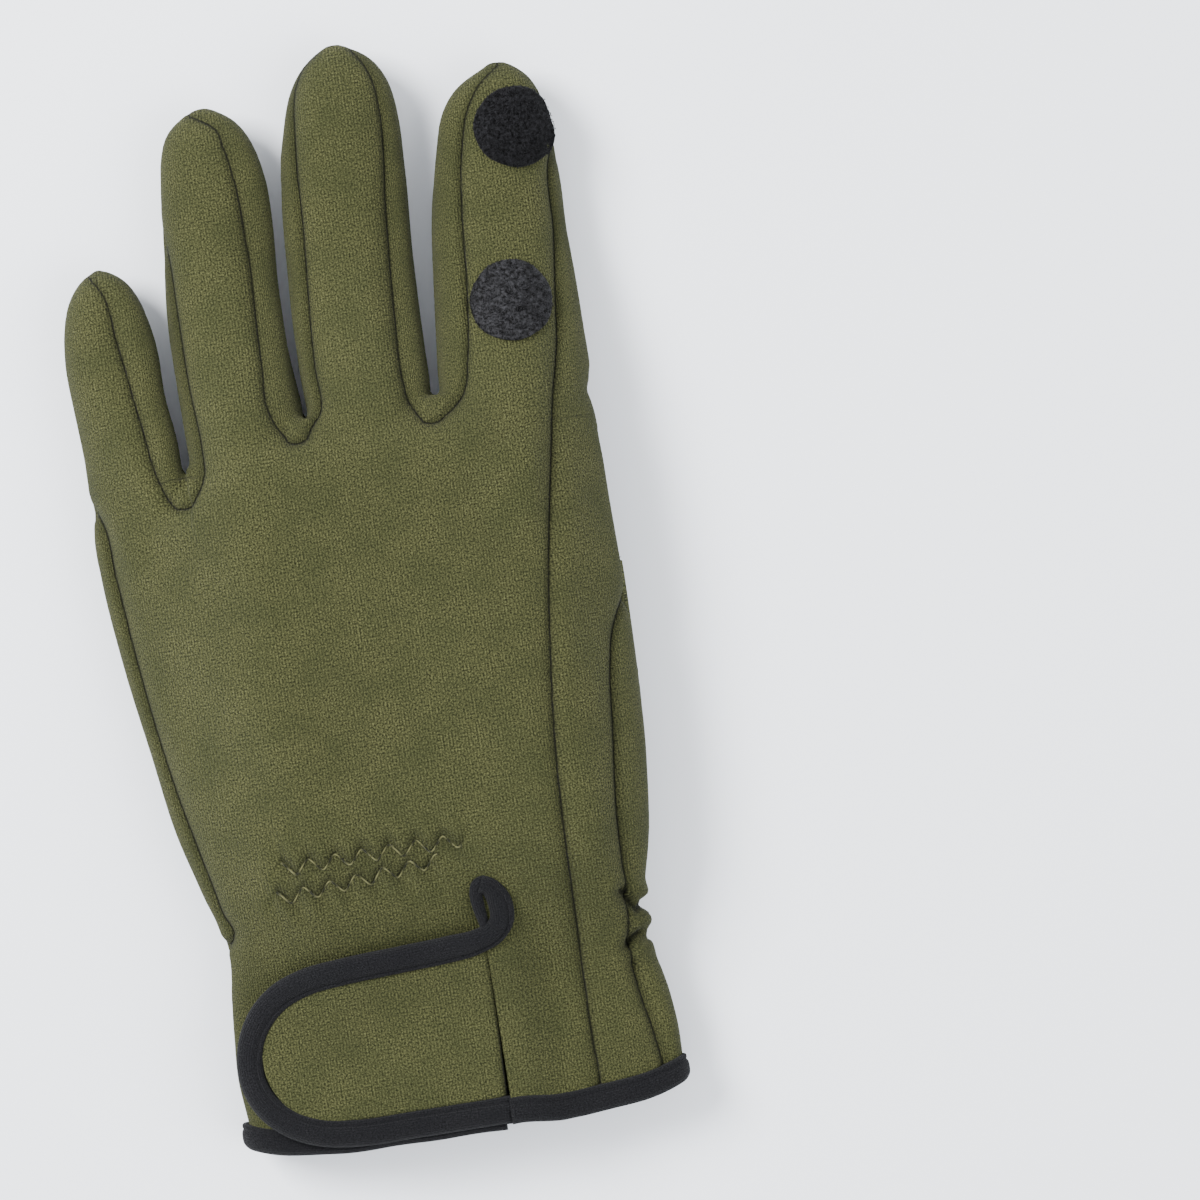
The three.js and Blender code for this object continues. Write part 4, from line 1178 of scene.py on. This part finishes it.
def tab_and_tape():
    """The tape round the tab with its curled end in the slit, and the tab inside it."""
    path = curve_through(TAB_TAPE, 0.9)
    levels = np.array([tab_level(x, y, TAB_OVER) for x, y in path])
    lifted = smooth(8, 15, path[:, 0]) * smooth(36, 41, path[:, 1])
    on_back = np.array([top_of(x, y, 1.0) for x, y in path])
    on_back = on_back + raised(np.maximum(path[:, 0], SEAM_X + 1), path[:, 1])
    levels = levels * (1 - lifted) + np.minimum(levels, on_back) * lifted
    levels = np.convolve(np.pad(levels, 4, mode="edge"), np.ones(9) / 9, "valid")
    levels -= 3.2 * smooth(10.6, 13.8, path[:, 0]) * (path[:, 1] < 5)
    centre = np.column_stack([path, levels])
    ups = np.array([surface_up(x, y, TAB_OVER) for x, y in path])
    run = np.arange(len(path)) / (len(path) - 1)
    width = 6.6 - 0.7 * smooth(0.84, 0.9, run) - 1.5 * smooth(0.955, 1.0, run)
    profiles = [(tape_profile(w, 2.6 if y < 42 else 1.4) * (-1, 1))[::-1] for w, y in zip(width, path[:, 1])]
    points, faces, flat = sweep(centre, ups, profiles)
    lip_path = curve_through(TAPE_LIP, 0.5)
    lip_z = np.array([top_of(x, y, 0.7) for x, y in lip_path]) + 0.85 * raised(SEAM_X + 1.0, lip_path[:, 1])
    lip = np.column_stack([lip_path, lip_z])
    turn = np.linspace(0, 2 * math.pi, 16, endpoint=False)
    lip_width = 1.55 - 0.45 * smooth(0.5, 1.0, np.linspace(0, 1, len(lip)))
    lip_high = np.where(np.sin(turn) > 0, 0.95, 2.2) * np.sin(turn)
    rings = [np.column_stack([w * np.cos(turn), lip_high]) for w in lip_width]
    lip_points, lip_faces, lip_flat = sweep(lip, np.tile([0, 0, 1.0], (len(lip), 1)), rings)
    faces = faces + [tuple(i + len(points) for i in f) for f in lip_faces]
    points = np.vstack([points, lip_points])
    flat = np.vstack([flat, lip_flat])
    finished("tab_binding_tape", points, faces, ["tab_binding"], TAPE, None, flat)
    tab_panel()


def surface_up(x, y, over):
    """The direction straight out of the tab's level."""
    step = 0.4
    dx = (tab_level(x + step, y, over) - tab_level(x - step, y, over)) / (2 * step)
    dy = (tab_level(x, y + step, over) - tab_level(x, y - step, over)) / (2 * step)
    up = np.array([-max(-2.2, min(2.2, dx)), -dy, 1.0])
    return up / np.linalg.norm(up)


def tab_panel():
    """The tab between its tape, gently domed, as a grid squeezed into its round end."""
    radius = TAB_WIDTH / 2
    centre_x = SEAM_X - TAB_LENGTH + radius
    middle = TAB_LOW + radius
    columns = 74
    rows = 40
    points = []
    flat = []
    values = []
    for c in range(columns + 1):
        share = c / columns
        x = SEAM_X - TAB_LENGTH + 0.05 + (TAB_LENGTH - 0.3) * share**1.35
        half = math.sqrt(max(0.02, radius**2 - (centre_x - x) ** 2)) if x < centre_x else radius
        for r in range(rows + 1):
            t = 2 * r / rows - 1
            y = middle + t * half + max(0.0, t) * 2.4 * smooth(-14, 8, x)
            place_x = x - 1.3 * share**3 * (1 - r / rows)
            edge = min(half * (1 - abs(t)), x - (SEAM_X - TAB_LENGTH))
            puff = 0.45 * (1 - math.exp(-edge / 3)) - 0.75 * math.exp(-((SEAM_X - 0.2 - x) / 0.9) ** 2)
            z = tab_level(place_x, y, TAB_OVER) + puff - 0.1
            points.append((place_x, y, z))
            flat.append((place_x, y))
            # Distance to the tab's sewn end, which the finish darkens as stitching with painted shade beside it; the
            # long edges under the tape get a little painted shade.
            values.append(min(9, SEAM_X - 0.25 - x) if abs(t) < 0.999 else 0.5)
    faces = []
    for c in range(columns):
        for r in range(rows):
            a = c * (rows + 1) + r
            b = a + rows + 1
            faces.append((a, b, b + 1, a + 1))
    points = np.array(points)
    piece = finished("cuff_tab_cloth", points, faces, ["cuff_tab"], OLIVE, values, np.array(flat))
    wall = piece.modifiers.new("cloth", "SOLIDIFY")
    wall.thickness = CLOTH / 1000
    wall.offset = -1


def cuff_tape():
    """The tape round the edge of the cuff, from the slit's far side round the hand and in under the tab."""
    centre_x, half, high = palm_section(0.0)
    angle = np.linspace(0, 2 * math.pi, 4000)
    c = np.cos(angle)
    s = np.sin(angle)
    x = centre_x + half * np.sign(c) * np.abs(c) ** (2 / PALM_POWER)
    z = high * np.sign(s) * np.abs(s) ** (2 / PALM_POWER)
    start = np.flatnonzero((s > 0) & (x > 10.9))[-1]
    stop = np.flatnonzero((s > 0) & (x < SEAM_X - 2.5))[0]
    order = np.concatenate([np.arange(start, 0, -1), np.arange(len(angle) - 1, stop, -1)])
    loop = np.column_stack([x[order], z[order]])
    run = run_along(loop)
    even = np.linspace(0, run[-1], int(run[-1] / 1.1))
    loop = points_at(loop, run, even)
    along = directions(loop)
    out = np.column_stack([-along[:, 1], along[:, 0]])
    profile = closed_profile([
        [0.1, 0.0], [-0.25, 0.85], [-1.0, 1.2], [-1.45, 0.9], [-2.0, 1.25], [-3.6, 1.5], [-5.2, 1.3], [-6.1, 0.5],
        [-6.4, -1.2], [-6.1, -2.9], [-5.2, -3.7], [-3.6, -3.9], [-1.4, -3.6], [-0.2, -3.2], [0.1, -2.4], [0.0, -1.2],
    ], 44)
    rings = []
    flat = []
    across = run_along(profile)
    for i, (place, normal) in enumerate(zip(loop, out)):
        px = place[0] + profile[:, 1] * normal[0]
        pz = place[1] + profile[:, 1] * normal[1]
        ripple = 0.12 * math.sin(even[i] / 3.1) + 0.1 * math.sin(even[i] / 7.7)
        py = bowed(px, profile[:, 0] + ripple)
        far_side = i < len(loop) / 2 and place[1] > 0
        up = raised(np.maximum(px, SEAM_X), 0) if far_side else 0
        py = py + (1.4 * (1 - smooth(12, 24, place[0])) if far_side else 0)
        rings.append(np.column_stack([px, py, pz + MIDDLE_HEIGHT + up]))
        flat.append(np.column_stack([across, np.full(len(across), even[i])]))
    points, faces = loft(rings)
    points[:, 2] = np.maximum(points[:, 2], FLOOR + 0.02)
    faces = outward(points, faces)
    finished("cuff_binding_tape", points, faces, ["cuff_binding"], TAPE, None, np.vstack(flat))


def outward(points, faces):
    """The same faces, turned round if they point inwards."""
    volume = 0.0
    for face in faces:
        a = points[face[0]]
        for i in range(1, len(face) - 1):
            volume += float(np.dot(a, np.cross(points[face[i]], points[face[i + 1]])))
    return faces if volume > 0 else [tuple(f[::-1]) for f in faces]


def geometry_group(name, inputs):
    """A Geometry Nodes tree that takes a mesh, some values and a finish; also its end nodes and its inputs' keys."""
    tree = bpy.data.node_groups.new(name, "GeometryNodeTree")
    tree.interface.new_socket("Geometry", in_out="INPUT", socket_type="NodeSocketGeometry")
    ids = {}
    for key, label, default in inputs:
        socket = tree.interface.new_socket(label, in_out="INPUT", socket_type="NodeSocketFloat")
        socket.default_value = default
        ids[key] = socket.identifier
    finish = tree.interface.new_socket("Finish", in_out="INPUT", socket_type="NodeSocketMaterial")
    ids["finish"] = finish.identifier
    tree.interface.new_socket("Geometry", in_out="OUTPUT", socket_type="NodeSocketGeometry")
    return tree, ids, tree.nodes.new("NodeGroupInput"), tree.nodes.new("NodeGroupOutput")


def end_group(tree, given, result, made):
    """Turns what a tree has made into plain mesh with the finish that it was given."""
    real = node(tree, "GeometryNodeRealizeInstances", {0: made.outputs[0]})
    done = node(tree, "GeometryNodeSetMaterial", {"Geometry": real.outputs[0], "Material": given.outputs["Finish"]})
    tree.links.new(done.outputs[0], result.inputs[0])


def run_nodes(name, tree, mesh, inputs):
    """Runs a Geometry Nodes tree over a mesh and returns the plain mesh that it makes."""
    carrier = object_of(name, mesh)
    modifier = carrier.modifiers.new("make", "NODES")
    modifier.node_group = tree
    for identifier, value in inputs.items():
        modifier[identifier] = value
    return baked(carrier)


def zigzag_tree():
    """Thread that crosses a line of points from side to side, laid on the cloth."""
    inputs = [("half", "Half Width", 0.002), ("thread", "Thread Radius", 0.0002)]
    tree, ids, given, result = geometry_group("zigzag thread", inputs)
    swing = node(tree, "GeometryNodeInputNamedAttribute", {"Name": "swing"}, data_type="FLOAT")
    reach = node(tree, "ShaderNodeMath", {0: swing.outputs[0], 1: given.outputs["Half Width"]}, operation="MULTIPLY")
    side = node(tree, "GeometryNodeInputNamedAttribute", {"Name": "side"}, data_type="FLOAT_VECTOR")
    offset = node(tree, "ShaderNodeVectorMath", {0: side.outputs[0]}, operation="SCALE")
    tree.links.new(reach.outputs[0], offset.inputs["Scale"])
    moved = node(tree, "GeometryNodeSetPosition", {"Geometry": given.outputs["Geometry"], "Offset": offset.outputs[0]})
    curve = node(tree, "GeometryNodeMeshToCurve", {"Mesh": moved.outputs[0]})
    kind = node(tree, "GeometryNodeCurveSplineType", {"Curve": curve.outputs[0]}, spline_type="CATMULL_ROM")
    fine = node(tree, "GeometryNodeSetSplineResolution", {"Geometry": kind.outputs[0], "Resolution": 2})
    ring = node(tree, "GeometryNodeCurvePrimitiveCircle", {"Resolution": 6, "Radius": given.outputs["Thread Radius"]})
    tube = node(tree, "GeometryNodeCurveToMesh", {
        "Curve": fine.outputs[0], "Profile Curve": ring.outputs["Curve"], "Fill Caps": True,
    })
    end_group(tree, given, result, tube)
    return tree, ids


def zigzag(name, lines, from_above):
    """Rows of elastic zigzag stitches that follow the cloth."""
    tree, ids = zigzag_tree()
    made = []
    for number, line in enumerate(lines):
        path = curve_through(line, 0.65)
        swing = zigzag_swing(path[:, 0], line[0][0])
        swing = np.convolve(np.pad(swing, 1, mode="edge"), [0.2, 0.6, 0.2], "valid")
        if not from_above:
            swing = -swing
        points = []
        for (x, y), side in zip(path, swing):
            start = Vector((x, y + 2 * side, 80 if from_above else -5))
            hit = surface.ray_cast(start, Vector((0, 0, -1 if from_above else 1)))
            points.append((x, y, hit[0].z + (0.02 if from_above else -0.02)))
        points = np.array(points)
        mesh = mesh_of(f"{name}_{number}", to_row(points), [])
        mesh.edges.add(len(points) - 1)
        mesh.edges.foreach_set("vertices", np.array([(i, i + 1) for i in range(len(points) - 1)]).ravel())
        side = mesh.attributes.new("side", "FLOAT_VECTOR", "POINT")
        across = np.tile([0, 1.0, 0], (len(points), 1))
        side.data.foreach_set("vector", across.astype(np.float32).ravel())
        swinging = mesh.attributes.new("swing", "FLOAT", "POINT")
        swinging.data.foreach_set("value", swing.astype(np.float32))
        inputs = {ids["half"]: 0.002, ids["thread"]: 0.0002, ids["finish"]: THREAD}
        made.append(run_nodes(f"{name}_{number}", tree, mesh, inputs))
    settle(joined(name, made), [])


def joined(name, meshes):
    """One object at the origin with all of these meshes in it."""
    objects = [object_of(f"{name}_part", mesh) for mesh in meshes]
    first = objects[0]
    if len(objects) > 1:
        with bpy.context.temp_override(active_object=first, selected_editable_objects=objects, object=first):
            bpy.ops.object.join()
    first.name = name
    first.data.name = name
    return first


def pile_tree():
    """Short bent fibres scattered over a patch, standing on it at random turns."""
    tree, ids, given, result = geometry_group("pile", [
        ("space", "Spacing", 0.0006), ("density", "Density", 4e6), ("height", "Height", 0.0008),
        ("thread", "Thread Radius", 0.0001), ("lean", "Lean", 0.6),
    ])
    points = node(tree, "GeometryNodeDistributePointsOnFaces", {
        "Mesh": given.outputs["Geometry"], "Distance Min": given.outputs["Spacing"],
        "Density Max": given.outputs["Density"], "Seed": 7,
    }, distribute_method="POISSON")
    arc = node(tree, "GeometryNodeCurveArc", {
        "Resolution": 5, "Radius": given.outputs["Height"], "Start Angle": 0.0, "Sweep Angle": math.pi,
    })
    stood = node(tree, "GeometryNodeTransform", {"Geometry": arc.outputs[0], "Rotation": (math.pi / 2, 0, 0)})
    ring = node(tree, "GeometryNodeCurvePrimitiveCircle", {"Resolution": 3, "Radius": given.outputs["Thread Radius"]})
    tube = node(tree, "GeometryNodeCurveToMesh", {"Curve": stood.outputs[0], "Profile Curve": ring.outputs["Curve"]})
    turn = node(tree, "FunctionNodeRandomValue", {"Seed": 3}, data_type="FLOAT_VECTOR")
    turn.inputs[0].default_value = (-1, -1, 0)
    turn.inputs[1].default_value = (1, 1, 2 * math.pi)
    leaning = node(tree, "ShaderNodeCombineXYZ", {"X": given.outputs["Lean"], "Y": given.outputs["Lean"], "Z": 1.0})
    angles = node(tree, "ShaderNodeVectorMath", {0: turn.outputs[0], 1: leaning.outputs[0]}, operation="MULTIPLY")
    rotate = node(tree, "FunctionNodeRotateEuler", {0: points.outputs["Rotation"]}, space="LOCAL")
    tree.links.new(angles.outputs[0], rotate.inputs["Rotate By"])
    size = node(tree, "FunctionNodeRandomValue", {"Seed": 11}, data_type="FLOAT")
    size.inputs[2].default_value = 0.6
    size.inputs[3].default_value = 1.15
    stood_on = node(tree, "GeometryNodeInstanceOnPoints", {
        "Points": points.outputs["Points"], "Instance": tube.outputs[0], "Rotation": rotate.outputs[0],
        "Scale": size.outputs[1],
    })
    end_group(tree, given, result, stood_on)
    return tree, ids


PILE, PILE_INPUTS = pile_tree()


def disc_patch(centre, level, thick):
    """A round pad that follows the cloth below it: rings of points over its top, and its foot."""
    rings = []
    corner = np.linspace(0, 2 * math.pi, DISC_SIDES, endpoint=False)
    wobble = 1 + 0.012 * np.sin(3 * corner + centre[0]) + 0.008 * np.sin(7 * corner)
    rounding = [(1.0, thick + 0.7), (1.0, thick * 0.35), (0.985, 0.12 * thick)]
    for share, drop in rounding + [(share, 0) for share in (0.95, 0.8, 0.6, 0.4, 0.2, 0.02)]:
        x = centre[0] + DISC_RADIUS * share * wobble * np.cos(corner)
        y = centre[1] + DISC_RADIUS * share * wobble * np.sin(corner)
        if thick > 0:
            at = (y - finger_y(INDEX, 0)) / INDEX["length"]
            x = np.minimum(x, finger_x(INDEX, at, finger_row(INDEX, at)[:, 1]) - 0.1)
        heights = np.array([level(a, b) for a, b in zip(x, y)])
        heights = np.maximum(heights, level(*centre) - 6.5) if thick > 0 else heights
        rings.append(np.column_stack([x, y, heights + thick - drop]))
    return loft(rings)


def disc(name, centre, level, hooks, downward=False):
    """A round fastener: a woven pad with loops or hooks all over it."""
    points, faces = disc_patch(centre, level, -0.55 if downward else 1.0)
    if downward:
        points[:DISC_SIDES, 2] += 2 * 0.7
        faces = [tuple(f[::-1]) for f in faces]
        points[:, 2] = np.maximum(points[:, 2], FLOOR + 0.25)
    finish = HOOK if hooks else LOOP
    faces = outward(points, faces)
    base = mesh_of(f"{name}_base", to_row(points), faces)
    base.shade_smooth()
    base.materials.append(finish)
    top = mesh_of(f"{name}_top", to_row(points), [f for f in faces if min(f) >= 2 * DISC_SIDES])
    inputs = {
        PILE_INPUTS["space"]: 0.00062 if hooks else 0.0005,
        PILE_INPUTS["density"]: 3e6 if hooks else 5e6,
        PILE_INPUTS["height"]: (0.00042 if hooks else 0.0005) * (0.4 if downward else 1),
        PILE_INPUTS["thread"]: 0.00012 if hooks else 0.00009,
        PILE_INPUTS["lean"]: 0.25 if hooks else 0.8,
        PILE_INPUTS["finish"]: finish,
    }
    fibres = run_nodes(f"{name}_fibres", PILE, top, inputs)
    fibres.shade_smooth()
    made = joined(f"{name}_pile", [base, fibres])
    settle(made, [name])


def thumb_under(x, y):
    """The height of the thumb's underside over a place."""
    hit = surface.ray_cast(Vector((x, y, -5)), Vector((0, 0, 1)))
    return hit[0].z if hit[0] is not None else THUMB_HEIGHT


def dressed_solids():
    """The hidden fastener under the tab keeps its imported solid, in the hook finish."""
    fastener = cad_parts["tab_fastener"]
    fastener.data.materials.clear()
    fastener.data.materials.append(HOOK)


cuff_tape()
tab_and_tape()
zigzag("elastic_back", BACK_ZIGZAG, True)
zigzag("elastic_palm", PALM_ZIGZAG, False)
disc("index_tip_disc", (48.8, 231.5), top_of, False)
disc("index_lower_disc", (41.4, 190.0), top_of, True)
disc("thumb_tip_disc", thumb_place(0.76 * THUMB_LENGTH, 4.6), thumb_under, False, True)
disc("thumb_lower_disc", thumb_place(0.373 * THUMB_LENGTH, 4.6), thumb_under, True, True)
dressed_solids()


def studio():
    """A plain pale floor, soft light from above and a camera straight over the glove."""
    floor = object_of("floor", mesh_of("floor", [(-4, -4, 0), (4, -4, 0), (4, 4, 0), (-4, 4, 0)], [(0, 1, 2, 3)]))
    material, tree, shader = new_material("pale floor", 0.9)
    place = object_coordinates(tree)
    tone = mixed(tree, speckle(tree, place, 0.02), (0.905, 0.935, 0.985, 1), (0.915, 0.945, 0.99, 1))
    link(tree, tone, shader.inputs["Base Color"])
    floor.data.materials.append(material)
    world = bpy.data.worlds.new("studio")
    world.use_nodes = True
    world.node_tree.nodes["Background"].inputs["Color"].default_value = (0.95, 0.97, 1.0, 1)
    world.node_tree.nodes["Background"].inputs["Strength"].default_value = 1.4
    bpy.context.scene.world = world
    for name, place, size, power in [("key", (-0.75, 0.55, 0.95), 0.6, 44), ("fill", (0.9, -0.5, 1.0), 1.2, 18)]:
        lamp = bpy.data.lights.new(name, "AREA")
        lamp.size = size
        lamp.energy = power
        made = bpy.data.objects.new(name, lamp)
        bpy.context.scene.collection.objects.link(made)
        made.location = place
        made.rotation_euler = (Vector((0.02, 0, 0)) - Vector(place)).to_track_quat("-Z", "Y").to_euler()
    lens = bpy.data.cameras.new("camera")
    camera = bpy.data.objects.new("camera", lens)
    bpy.context.scene.collection.objects.link(camera)
    camera.location = (0.0556, -0.0098, 1.32)
    camera.rotation_euler = (0, 0, math.radians(-9))
    lens.lens = 36 * 1.3 / 0.288
    lens.clip_start = 0.05
    bpy.context.scene.camera = camera


studio()
